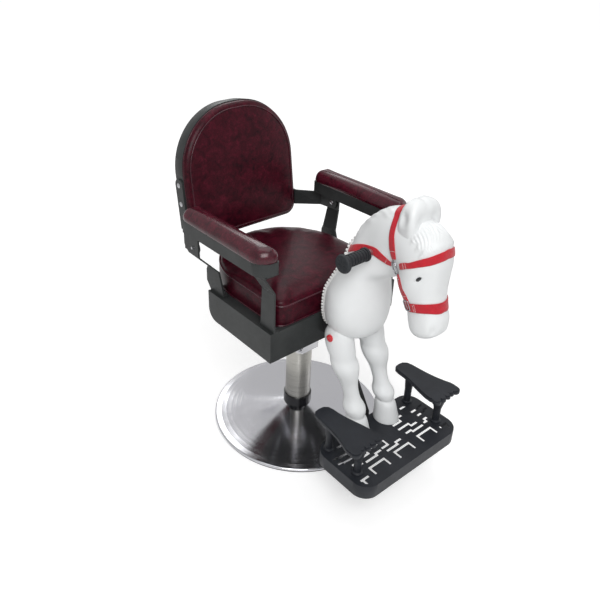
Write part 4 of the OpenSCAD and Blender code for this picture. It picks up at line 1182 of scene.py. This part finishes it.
@dataclass
class Halter:
    """Red webbing round the pony's head, with rings, buckles and stitching."""

    pony: Pony = field(default_factory=Pony)
    gap: float = 0.5
    thick: float = 2.2
    ring_r: tuple[float, float] = (18.0, 11.0)
    ring_wire: float = 1.9
    ring_lift: float = 2.3
    stitch_r: float = 0.42
    buckle_at: tuple[float, float] = (19.35, 111.0)
    holes: int = 6

    def over(self, s: float, a: float, lift: float) -> Points:
        """A point that lies over the skin and its hair by a length."""
        return self.pony.skin.point(s, a, lift + self.pony.hair(s, a, combed=False))

    def band(
        self, name: str, nodes: Sequence[str], edges: Sequence[Sequence[float]], material: Material,
        mirrored: bool = True, closed: bool = False,
    ) -> None:
        """Lays a tape over the skin between two edges.

        Args:
            name: The piece's name.
            nodes: The CAD nodes that it replaces.
            edges: Rows of [ring place, angle] of one edge, then of the other.
            material: The webbing.
            mirrored: Whether the far side mirrors the near one in one run.
            closed: Whether it is a loop.
        """
        rows = curve_rows(np.array(edges, float), 10)
        if mirrored:
            rows = np.concatenate([rows[:0:-1] * [1, -1, 1, -1], rows])
        if closed:
            rows = rows[:-1]
        shares = np.linspace(0, 1, 9)
        sections, middle = [], []
        for row in rows:
            low, high = row[:2], row[2:]
            inner, outer = [], []
            for share in shares:
                s, a = low + (high - low) * share
                rim = 0.55 * (1 - min(1.0, 9 * min(share, 1 - share)))
                inner.append(self.over(s, a, self.gap))
                outer.append(self.over(s, a, self.gap + self.thick - rim))
            sections.append(np.array(inner + outer[::-1]))
            middle.append(self.over(*((low + high) / 2), self.gap + self.thick))
        across, uvs = np.concatenate([shares, shares[::-1]]), []
        for at, section in zip(run_along(np.array(middle)) * MM, sections):
            width = np.linalg.norm(section[0] - section[8]) * MM
            uvs += [(at, v) for v in across * width]
        faces = grid_faces(len(sections), 2 * len(shares), closed, capped=not closed)
        finish_piece(build(name, np.concatenate(sections), faces, np.array(uvs)), Body.SEAT, material, nodes)

    def stitches(self, name: str, ends: Sequence[tuple[float, float, float, float]], material: Material) -> None:
        """Sews rows of white stitches across tapes.

        Args:
            name: The piece's name.
            ends: Rows of [ring place, angle, ring place, angle], mirrored too.
            material: The thread.
        """
        heap = Heap()
        for side in Side:
            for s0, a0, s1, a1 in ends:
                for k in range(self.holes):
                    line = []
                    for t in np.linspace((k + 0.14) / self.holes, (k + 0.86) / self.holes, 5):
                        arch = math.sin(math.pi * (t * self.holes - k - 0.14) / 0.72) * 0.25
                        s, a = s0 + (s1 - s0) * t, a0 + (a1 - a0) * t
                        line.append(self.over(s, side.value * a, self.gap + self.thick + 0.05 + arch))
                    rings = cord_rings(np.array(line), self.stitch_r, 6)
                    heap.add(np.concatenate(rings), grid_faces(5, 6, capped=True))
        finish_piece(heap.build(name), Body.SEAT, material)

    def ring(self, side: Side, material: Material) -> None:
        """Bends one cheek ring to the head.

        Args:
            side: The side.
            material: The wire.
        """
        places = ((13.75, 124.0), (13.0, 110.0), (14.7, 114.0))
        here, above, ahead = (self.over(s, a * side.value, 2.2) for s, a in places)
        up, fore = towards(here, above, ahead)
        fore = unit(fore - up * fore.dot(up))
        path = here + oval(circle(40), self.ring_r, up, fore)
        normal = unit(np.cross(path[10] - path[0], path[20] - path[0]))
        lift = math.copysign(self.ring_lift, normal[0] * side.value)
        piece = cord_mesh(f"cheek_ring_{side.tag}", path + normal * lift, self.ring_wire, 12, True)
        finish_piece(piece, Body.SEAT, material, side.shared("halter_rings"))

    def buckle(self, side: Side, material: Material) -> None:
        """Sets the frame and tongue of one cheek buckle.

        Args:
            side: The side.
            material: The wire.
        """
        s, a = self.buckle_at
        places, lift = ((s, a), (s + 0.5, a), (s, a - 10)), self.gap + self.thick + 1.2
        here, below, ahead = (self.over(row, turn * side.value, lift) for row, turn in places)
        down, fore = towards(here, below, ahead)
        c, n = (squarish(wave(circle(48)), 0.4) for wave in (np.cos, np.sin))
        loop = cord_mesh(f"buckle_{side.tag}", here + 14.0 * np.outer(c, down) + 9.5 * np.outer(n, fore), 1.4, 10, True)
        finish_piece(loop, Body.SEAT, material)
        tongue = here + np.outer([-13.6, -7.0, 0.0, 7.0, 14.6], down)
        finish_piece(cord_mesh(f"buckle_tongue_{side.tag}", tongue, 1.0, 8), Body.SEAT, material)

    def build_all(self, tape: Material, wire: Material, thread: Material) -> None:
        """Builds the whole halter.

        Args:
            tape: The webbing.
            wire: The rings' and buckles' metal.
            thread: The stitches.
        """
        poll = [
            [11.95, 0, 12.35, 0], [12.0, 16, 12.35, 16], [12.08, 40, 12.45, 40], [12.06, 68, 12.54, 66.5],
            [12.1, 79, 12.68, 77], [12.2, 92.5, 12.95, 90.5], [12.4, 104, 13.2, 100.5], [12.7, 112, 13.4, 107],
        ]
        brow = [
            [16.12, 0, 16.68, 0], [16.14, 14, 16.70, 14], [15.98, 46, 16.58, 43], [15.4, 80, 16.15, 76],
            [14.9, 93, 15.75, 93], [14.55, 101, 15.45, 104], [14.3, 107, 15.15, 112],
        ]
        rein = [
            [7.45, 0, 7.95, 0], [7.6, 24, 8.12, 22], [8.0, 47, 8.4, 41], [8.7, 67, 8.95, 56], [9.6, 85, 9.95, 76],
            [10.1, 96, 10.6, 88], [10.6, 109, 11.1, 101], [11.3, 121, 11.9, 115], [12.1, 128, 12.6, 121],
        ]
        nose = [
            [19.6, 0, 20.32, 0], [19.55, 17, 20.32, 17], [19.4, 50, 20.12, 50],
            [19.2, 98, 19.95, 98], [19.2, 140, 19.9, 140], [19.3, 180, 20.0, 180],
        ]
        cheek = np.array([
            [15.5, 125, 15.2, 138], [16.3, 118, 16.3, 134], [17.0, 113, 17.3, 130],
            [18.15, 104.5, 18.15, 124], [18.65, 102.5, 18.7, 122], [19.3, 100.5, 19.3, 119],
        ])
        self.band("poll_tape", ["head_strap"], poll, tape)
        self.band("brow_tape", ["brow_band"], brow, tape)
        self.band("rein_tape", ["reins"], rein, tape)
        self.band("nose_tape", ["nose_band"], nose, tape, closed=True)
        for side in Side:
            edges = cheek * [1, side.value, 1, side.value]
            self.band(f"cheek_tape_{side.tag}", side.shared("cheek_straps"), edges, tape, mirrored=False)
            self.ring(side, wire)
            self.buckle(side, wire)
        ends = [
            (12.25, 97, 13.08, 94), (15.0, 92, 15.8, 92), (14.72, 97, 15.6, 99), (11.1, 119, 11.66, 112),
            (16.0, 120, 15.95, 135), (16.35, 118, 16.4, 133), (18.45, 104, 18.45, 122),
            (19.26, 90, 19.96, 90), (19.27, 85, 19.98, 85),
        ]
        self.stitches("halter_stitching", ends, thread)


# the upholstery


def drawn_in(plan: Points, low: float, span: float, table: Sequence[tuple[float, float]]) -> list[tuple[Points, float]]:
    """Rows of a pad, from pairs of a length that the plan draws in and a height in shares of a span."""
    return [(inset(plan, draw), low + span * rise) for draw, rise in table]


@dataclass
class Pad:
    """What the sewn pads share: their count of points and how far they swell; how full they are is not used."""

    count: int = 120
    pressure: float = 2.2
    cap_mm: float = 4.0
    fill: float = 0.8
    slot: str = "seat_vinyl"

    def sew(self, name: str, node: str, rings: Sequence[Points], fixed: Sequence[int], vinyl: Material) -> Object:
        """Lofts a pad, puffs it between its fixed rows and smooths it.

        Args:
            name: The piece's name.
            node: The CAD node that it replaces.
            rings: Its rings in millimetres.
            fixed: The numbers of the rings that stay.
            vinyl: Its material.

        Returns:
            The pad.
        """
        pad = loft(name, rings)
        puff(pad, [row * self.count + i for row in fixed for i in range(self.count)], self.pressure, self.cap_mm)
        modify(pad, "SUBSURF", levels=1, render_levels=1)
        finish_piece(pad, Body.SEAT, vinyl, [node])
        return pad

    def welt(self, name: str, path: Points, radius: float, piping: Material) -> None:
        """Lays one closed, round welt on a seam."""
        finish_piece(cord_mesh(name, path, radius, 10, True), Body.SEAT, piping)


@dataclass
class SeatCushion(Pad):
    """The D-shaped seat cushion, with welts round its top and its foot."""

    count: int = 132
    pressure: float = 3.2
    cap_mm: float = 6.0
    half: float = 215.0
    front: float = -148.0
    rear: float = 285.0
    low: float = 511.3
    side: float = 72.0
    crown: float = 16.0
    nose: float = 34.0
    welt_r: float = 2.7

    def build_all(self, vinyl: Material, piping: Material) -> None:
        """Builds the cushion and its two welts.

        Args:
            vinyl: The cushion's material.
            piping: The welts' material.
        """
        plan = outline(self.half, self.front, self.rear, [self.nose, self.nose, self.half, self.half], self.count)
        middle = np.array([0.0, (self.front + self.rear) / 2])
        rows = [(shrunk(plan, share, middle), self.low) for share in (0.25, 0.55, 0.8)]
        wall = ((6.0, 0.0), (1.8, 0.02), (0.8, 0.1), (-0.4, 0.28), (-0.8, 0.5), (-0.3, 0.72), (0.9, 0.87))
        shoulder = ((1.8, 0.91), (0.9, 0.945), (0.3, 0.985), (1.0, 1.04), (3.6, 1.095), (8.6, 1.14), (16.0, 1.165))
        rows += drawn_in(plan, self.low, self.side, wall)
        seam = len(rows)
        rows += drawn_in(plan, self.low, self.side, shoulder)
        inner, top = rows[-1]
        for share in (0.9, 0.78, 0.64, 0.5, 0.36, 0.22, 0.1):
            rows.append((shrunk(inner, share, middle), top + self.crown * 0.5 * (1 - share**2.4)))
        rings = [level(ring, z) for ring, z in rows]
        pad = self.sew("seat_pad", "seat_cushion", rings, [*range(5), seam], vinyl)
        places = np.array([v.co for v in pad.data.vertices]) / MM
        self.welt("seat_welt", places[seam * self.count : (seam + 1) * self.count], self.welt_r, piping)
        self.welt("seat_foot_welt", rings[4] + [0, 0, 1.6], self.welt_r, piping)


@dataclass
class ArmPad(Pad):
    """One arm pad, drawn over the tray's edge."""

    cap_mm: float = 3.0
    pressure: float = 2.4
    fill: float = 0.9
    slot: str = "arm_vinyl"
    side: Side = Side.LEFT
    inner: float = 228.0
    outer: float = 290.0
    front: float = -164.0
    rear: float = 213.0
    low: float = 713.5
    edge: float = 735.3
    top: float = 779.0
    nose: float = 44.0
    corner: float = 16.0

    def build_all(self, vinyl: Material) -> None:
        """Builds the pad.

        Args:
            vinyl: Its material.
        """
        mid_x, half = (self.inner + self.outer) / 2, (self.outer - self.inner) / 2
        plan = outline(half, self.front, self.rear, [self.corner, self.nose, self.corner, self.corner], self.count)
        swell = (
            (2.0, 0.02), (0.0, 0.05), (-1.6, 0.14), (-2.2, 0.28), (-1.8, 0.42), (-0.4, 0.55),
            (2.4, 0.67), (6.0, 0.78), (10.6, 0.875), (15.6, 0.94), (21.0, 0.98), (26.0, 1.0),
        )
        rows = [(inset(plan, 12.0), self.low), (inset(plan, 3.6), self.low), (inset(plan, 3.6), self.edge - 1.0)]
        rows += drawn_in(plan, self.edge, self.top - self.edge, swell)
        last = rows[-1][0]
        last[:, 1] = np.maximum(last[:, 1], self.front + 26)
        flip = [self.side.value, 1]
        rings = [level((ring + [mid_x, 0]) * flip, z) for ring, z in rows]
        self.sew(f"arm_pad_soft_{self.side.tag}", f"arm_pad_{self.side.tag}", rings, range(4), vinyl)


@dataclass
class BackPad(Pad):
    """The round-topped back pad: a welted rim, a sloping border and a flat face."""

    count: int = 168
    half: float = 213.0
    length: float = 412.0
    top_r: float = 196.0
    low_r: float = 42.0
    lean: float = 8.0
    foot: tuple[float, float] = (334.0, 597.0)
    shell: float = 42.0
    front: float = 26.0

    def stand(self, points: Points) -> Points:
        """Moves points from the flat drawing to the leaning back.

        Args:
            points: The points as drawn.

        Returns:
            The points in place.
        """
        turn = math.radians(90 - self.lean)
        c, s = math.cos(turn), math.sin(turn)
        x, y, z = points.T
        return np.stack([x, self.foot[0] + c * y - s * z, self.foot[1] + s * y + c * z], 1)

    def build_all(self, vinyl: Material, piping: Material) -> None:
        """Builds the pad and its welts.

        Args:
            vinyl: The pad's material.
            piping: The welts' material.
        """
        plan = outline(self.half, 0.0, self.length, [self.low_r, self.low_r, self.top_r, self.top_r], self.count)
        middle = np.array([0.0, self.length * 0.5])
        z0, face = self.shell, self.front
        rows = [(inset(plan, 12.0), z0 - 8.0), (inset(plan, 3.8), z0 - 8.0), (inset(plan, 3.8), z0 - 0.4)]
        wall = (
            (3.2, 0.04), (1.8, 0.12), (1.4, 0.26), (2.2, 0.42),
            (4.4, 0.55), (8.0, 0.67), (12.0, 0.755), (15.6, 0.80),
        )
        rows += drawn_in(plan, z0, face, wall)
        border = len(rows)
        rows += drawn_in(plan, z0, face, ((18.0, 0.79), (20.5, 0.82), (26.0, 0.88), (34.0, 0.93)))
        inner = rows[-1][0]
        for share in (0.88, 0.74, 0.6, 0.46, 0.32, 0.18, 0.07):
            rows.append((shrunk(inner, share, middle), z0 + face * (0.93 + 0.07 * (1 - share**2))))
        rings = [self.stand(level(ring, z)) for ring, z in rows]
        self.sew("back_pad_soft", "back_pad", rings, [*range(4), border], vinyl)
        self.welt("back_edge_welt", self.stand(level(inset(plan, 3.4), z0 + 1.2)), 2.6, piping)
        self.welt("back_face_welt", self.stand(level(inset(plan, 17.6), z0 + face * 0.8 + 0.4)), 2.0, piping)


# the grips


@dataclass
class Grips:
    """Moulded ends of the rubber grips, with their radial slots."""

    y: float = -308.0
    z: float = 765.2
    reach: float = 154.0
    radius: float = 20.5
    flange: float = 25.0
    spokes: int = 8

    def end_rim(self, side: Side, rubber: Material) -> None:
        """Builds the rounded flange round one grip's end.

        Args:
            side: The side.
            rubber: Its material.
        """
        rows = (
            (13.0, 5.6), (12.4, 4.0), (10.6, 1.6), (8.6, 0.5), (6.4, 0.0),
            (3.4, 0.2), (1.2, 1.3), (-0.4, 3.2), (-1.0, 5.4), (-0.6, 7.4),
        )
        profile = [(self.flange - shy, self.reach - back) for back, shy in rows]
        rim = lathe(f"grip_rim_{side.tag}", profile, side, (0.0, self.y, self.z), 72)
        finish_piece(rim, Body.SEAT, rubber)

    def build_all(self, rubber: Material) -> None:
        """Builds the flange and the raised spokes on each grip's end.

        Args:
            rubber: Their material.
        """
        faces = [(0, 1, 5, 4), (1, 3, 7, 5), (3, 2, 6, 7), (2, 0, 4, 6), (4, 5, 9, 8)]
        faces += [(5, 7, 11, 9), (7, 6, 10, 11), (6, 4, 8, 10), (8, 9, 11, 10), (0, 2, 3, 1)]
        for side in Side:
            self.end_rim(side, rubber)
            heap = Heap()
            for turn in TURN * (np.arange(self.spokes) + 0.5) / self.spokes:
                out = np.array([0.0, math.cos(turn), math.sin(turn)])
                across = np.array([0.0, -math.sin(turn), math.cos(turn)])
                block = []
                for lift, slim in ((-1.0, 1.0), (1.2, 1.0), (1.8, 0.75)):
                    for r, w in ((6.0, 1.6), (self.radius - 1.6, 3.4)):
                        here = np.array([side.value * (self.reach + lift), self.y, self.z]) + out * r
                        block += [here - across * w * slim, here + across * w * slim]
                heap.add(np.array(block), faces)
            finish_piece(heap.build(f"grip_end_{side.tag}", smooth=False), Body.SEAT, rubber)


@dataclass
class Studio:
    """The floor, the light and the camera."""

    target: Place = (0.0, 0.2289, 0.45)
    azimuth: float = -37.694
    elevation: float = 29.256
    distance: float = 2.11466
    focal_px: float = 620.0
    axis_px: tuple[float, float] = (256.84, 273.47)
    picture_px: float = 600.0
    floor_mm: float = 60000.0

    def camera(self) -> None:
        """Places the camera at the photograph's angle."""
        a, e = math.radians(self.azimuth), math.radians(self.elevation)
        back = Vector((math.sin(a) * math.cos(e), -math.cos(a) * math.cos(e), math.sin(e)))
        data = bpy.data.cameras.new("camera")
        data.sensor_width, data.sensor_fit = 36.0, "HORIZONTAL"
        data.lens = self.focal_px / self.picture_px * data.sensor_width
        data.shift_x = (self.picture_px / 2 - self.axis_px[0]) / self.picture_px
        data.shift_y = (self.axis_px[1] - self.picture_px / 2) / self.picture_px
        camera = bpy.data.objects.new("camera", data)
        bpy.context.scene.collection.objects.link(camera)
        camera.location = Vector(self.target) + back * self.distance
        camera.rotation_mode = "QUATERNION"
        camera.rotation_quaternion = (-back).to_track_quat("-Z", "Y")
        bpy.context.scene.camera = camera

    def pale(self, name: str, tint: float, glow: float) -> Material:
        """A pale stage finish that looks white to the camera and in reflections.

        Args:
            name: The material's name.
            tint: Its grey.
            glow: The emission that the camera and reflections see.

        Returns:
            The material.
        """
        g = Surface(name, Base_Color=(tint, tint, tint), Roughness=0.9, Specular_IOR_Level=0.1, Emission_Strength=1.0)
        x, y, _ = g.parts(g.place())
        far = ((x * x + y * y) ** 0.5).ramp(0.7, 3.2)
        g.set("Emission Color", g.blend(g.seen(0.6) * (far * 0.34 + glow), (0.0, 0.0, 0.0), (1.0, 1.0, 1.0)))
        return g.material

    def stage(self) -> None:
        """Lays the floor and sets the world."""
        square = np.array([[-1, -1], [1, -1], [1, 1], [-1, 1]]) * self.floor_mm
        floor = build("floor", level(square, -0.4), [(0, 1, 2, 3)], smooth=False, outward=False)
        floor.data.materials.append(self.pale("floor_pale", 0.82, 0.42))
        world = bpy.data.worlds.new("world")
        bpy.context.scene.world = world
        g = Graph(world, "ShaderNodeOutputWorld")
        strength = g.wire("ShaderNodeMapRange", None, {"Value": g.seen(0.5), "To Min": 0.3, "To Max": 1.0})
        inputs = {"Color": (1.0, 1.0, 1.0, 1.0), "Strength": strength}
        ground = g.node("ShaderNodeBackground", None, inputs)
        g.tree.links.new(ground.outputs[0], g.out.inputs["Surface"])

    def lamp(self, name: str, place: Place, aim: Place, size: float, watts: float) -> None:
        """Adds one soft lamp.

        Args:
            name: The lamp's name.
            place: Where it stands, in metres.
            aim: Where it points.
            size: Its width in metres.
            watts: Its power.
        """
        data = bpy.data.lights.new(name, "AREA")
        data.size, data.energy, data.shape = size, watts, "SQUARE"
        lamp = bpy.data.objects.new(name, data)
        bpy.context.scene.collection.objects.link(lamp)
        lamp.location = place
        lamp.rotation_mode = "QUATERNION"
        lamp.rotation_quaternion = (Vector(aim) - Vector(place)).to_track_quat("-Z", "Y")

    def build_all(self) -> None:
        """Builds the studio."""
        self.camera()
        self.stage()
        self.lamp("key_lamp", (-1.5, -2.0, 2.6), (0, 0, 0.5), 1.8, 66.0)
        self.lamp("top_lamp", (0.4, 0.3, 3.0), (0, 0, 0.4), 2.2, 22.0)
        self.lamp("side_lamp", (2.6, -0.8, 1.6), (0, 0, 0.5), 1.6, 8.0)
        self.lamp("rim_lamp", (1.1, 1.9, 2.1), (0, 0, 0.7), 1.0, 9.0)
        view = bpy.context.scene.view_settings
        view.view_transform = "Standard"


def main() -> None:
    """Builds the studio and every piece of the chair in order."""
    logging.basicConfig(level=logging.INFO, format="%(message)s")
    Studio().build_all()
    charcoal = Powder("charcoal_paint", (0.026, 0.0285, 0.0285), 0.4).make()
    slate = Powder("slate_paint", (0.0145, 0.0165, 0.0215), 0.44).make()
    black = Powder("black_paint", (0.020, 0.020, 0.021), 0.4).make()
    chrome = Metal("chrome_plate", (0.60, 0.60, 0.62), 0.05).make()
    satin = Metal("chrome_dish", (0.62, 0.62, 0.65), 0.13).make()
    brushed = Metal("brushed_tube", (0.56, 0.55, 0.51), 0.3, 1.0).make()
    steel = Metal("zinc_bolts", (0.52, 0.52, 0.54), 0.28).make()
    nickel = Metal("nickel_wire", (0.34, 0.34, 0.36), 0.22).make()
    bronze = Metal("bush_bronze", (0.55, 0.40, 0.22), 0.3).make()
    iron = Metal("cast_weight", (0.16, 0.16, 0.17), 0.55, pits_mm=0.6).make()
    seat_vinyl = Vinyl(
        "wine_vinyl",
        (0.01332, 0.000888, 0.0037), (0.04884, 0.003108, 0.00925), (0.0925, 0.00666, 0.0185),
        0.34,
    ).make()
    arm_vinyl = Vinyl(
        "wine_vinyl_arm",
        (0.02072, 0.00148, 0.00518), (0.0703, 0.00518, 0.01406), (0.1184, 0.01036, 0.02516),
        0.23, 0.36,
    ).make()
    piping = Vinyl(
        "wine_piping",
        (0.022, 0.0015, 0.006), (0.055, 0.0042, 0.013), (0.088, 0.008, 0.021),
        0.22, 0.38,
    ).make()
    white = Moulding("pony_white", (0.80, 0.815, 0.82), 0.44, 0.04).make()
    trim = Moulding("bead_white", (0.74, 0.74, 0.73), 0.3, 0.05).make()
    red = Moulding("cap_red", (0.60, 0.018, 0.028), 0.28, 0.1).make()
    dark = Moulding("eye_black", (0.012, 0.013, 0.016), 0.12, 0.1, 0.01).make()
    band = Moulding("band_black", (0.010, 0.010, 0.012), 0.1, 0.1, 0.02).make()
    rubber = Rubber("grip_black", (0.013, 0.015, 0.018)).make()
    tread = Rubber("tread_black", (0.02, 0.02, 0.022), 0.7, 380.0).make()
    tape = Webbing("halter_red", (0.56, 0.006, 0.020)).make()
    thread = Thread("thread_white", (0.82, 0.80, 0.80)).make()
    ply = Plywood("ply", (0.55, 0.40, 0.25)).make()
    pairs = ("front_post", "rear_post", "arm_tray", "back_bracket")
    panels = ["seat_box", "back_shell"] + [f"{name}_{side.tag}" for name in pairs for side in Side]
    for nodes, material, edge_mm in (
        (panels, charcoal, 0.9),
        (["footrest_deck", "pedal_l", "pedal_r"], slate, 0.8),
        (["pedal_posts_l", "pedal_posts_r"], slate, 0.0),
        (["footrest_strut", "pony_bracket", "mount_rails"], black, 0.8),
        (["seat_hub"], black, 0.0),
        (["base_dish"], satin, 0.0),
        (["pump_head", "lever_shaft", "lift_rod"], chrome, 0.0),
        (["foot_lever"], chrome, 0.8),
        (["pump_tube"], brushed, 0.0),
        (["pump_band"], band, 0.0),
        (["gland_bush", "thrust_washer"], bronze, 0.0),
        (["lift_piston", "mount_bolts", "arm_bolts", "bracket_bolts", "handle_bar"], steel, 0.0),
        (["weight_plate"], iron, 0.0),
        (["floor_pad", "lever_tread"], tread, 0.0),
        (["grip_l", "grip_r"], rubber, 0.0),
        (["seat_board", "arm_board_l", "arm_board_r", "back_board"], ply, 0.0),
    ):
        dress(nodes, material, edge_mm)
    SeatCushion().build_all(seat_vinyl, piping)
    BackPad().build_all(seat_vinyl, piping)
    for side in Side:
        ArmPad(side=side).build_all(arm_vinyl)
    pony = Pony()
    pony.build_all(white, trim, dark, red)
    Halter(pony).build_all(tape, nickel, thread)
    Grips().build_all(rubber)


if __name__ == "__main__":
    main()
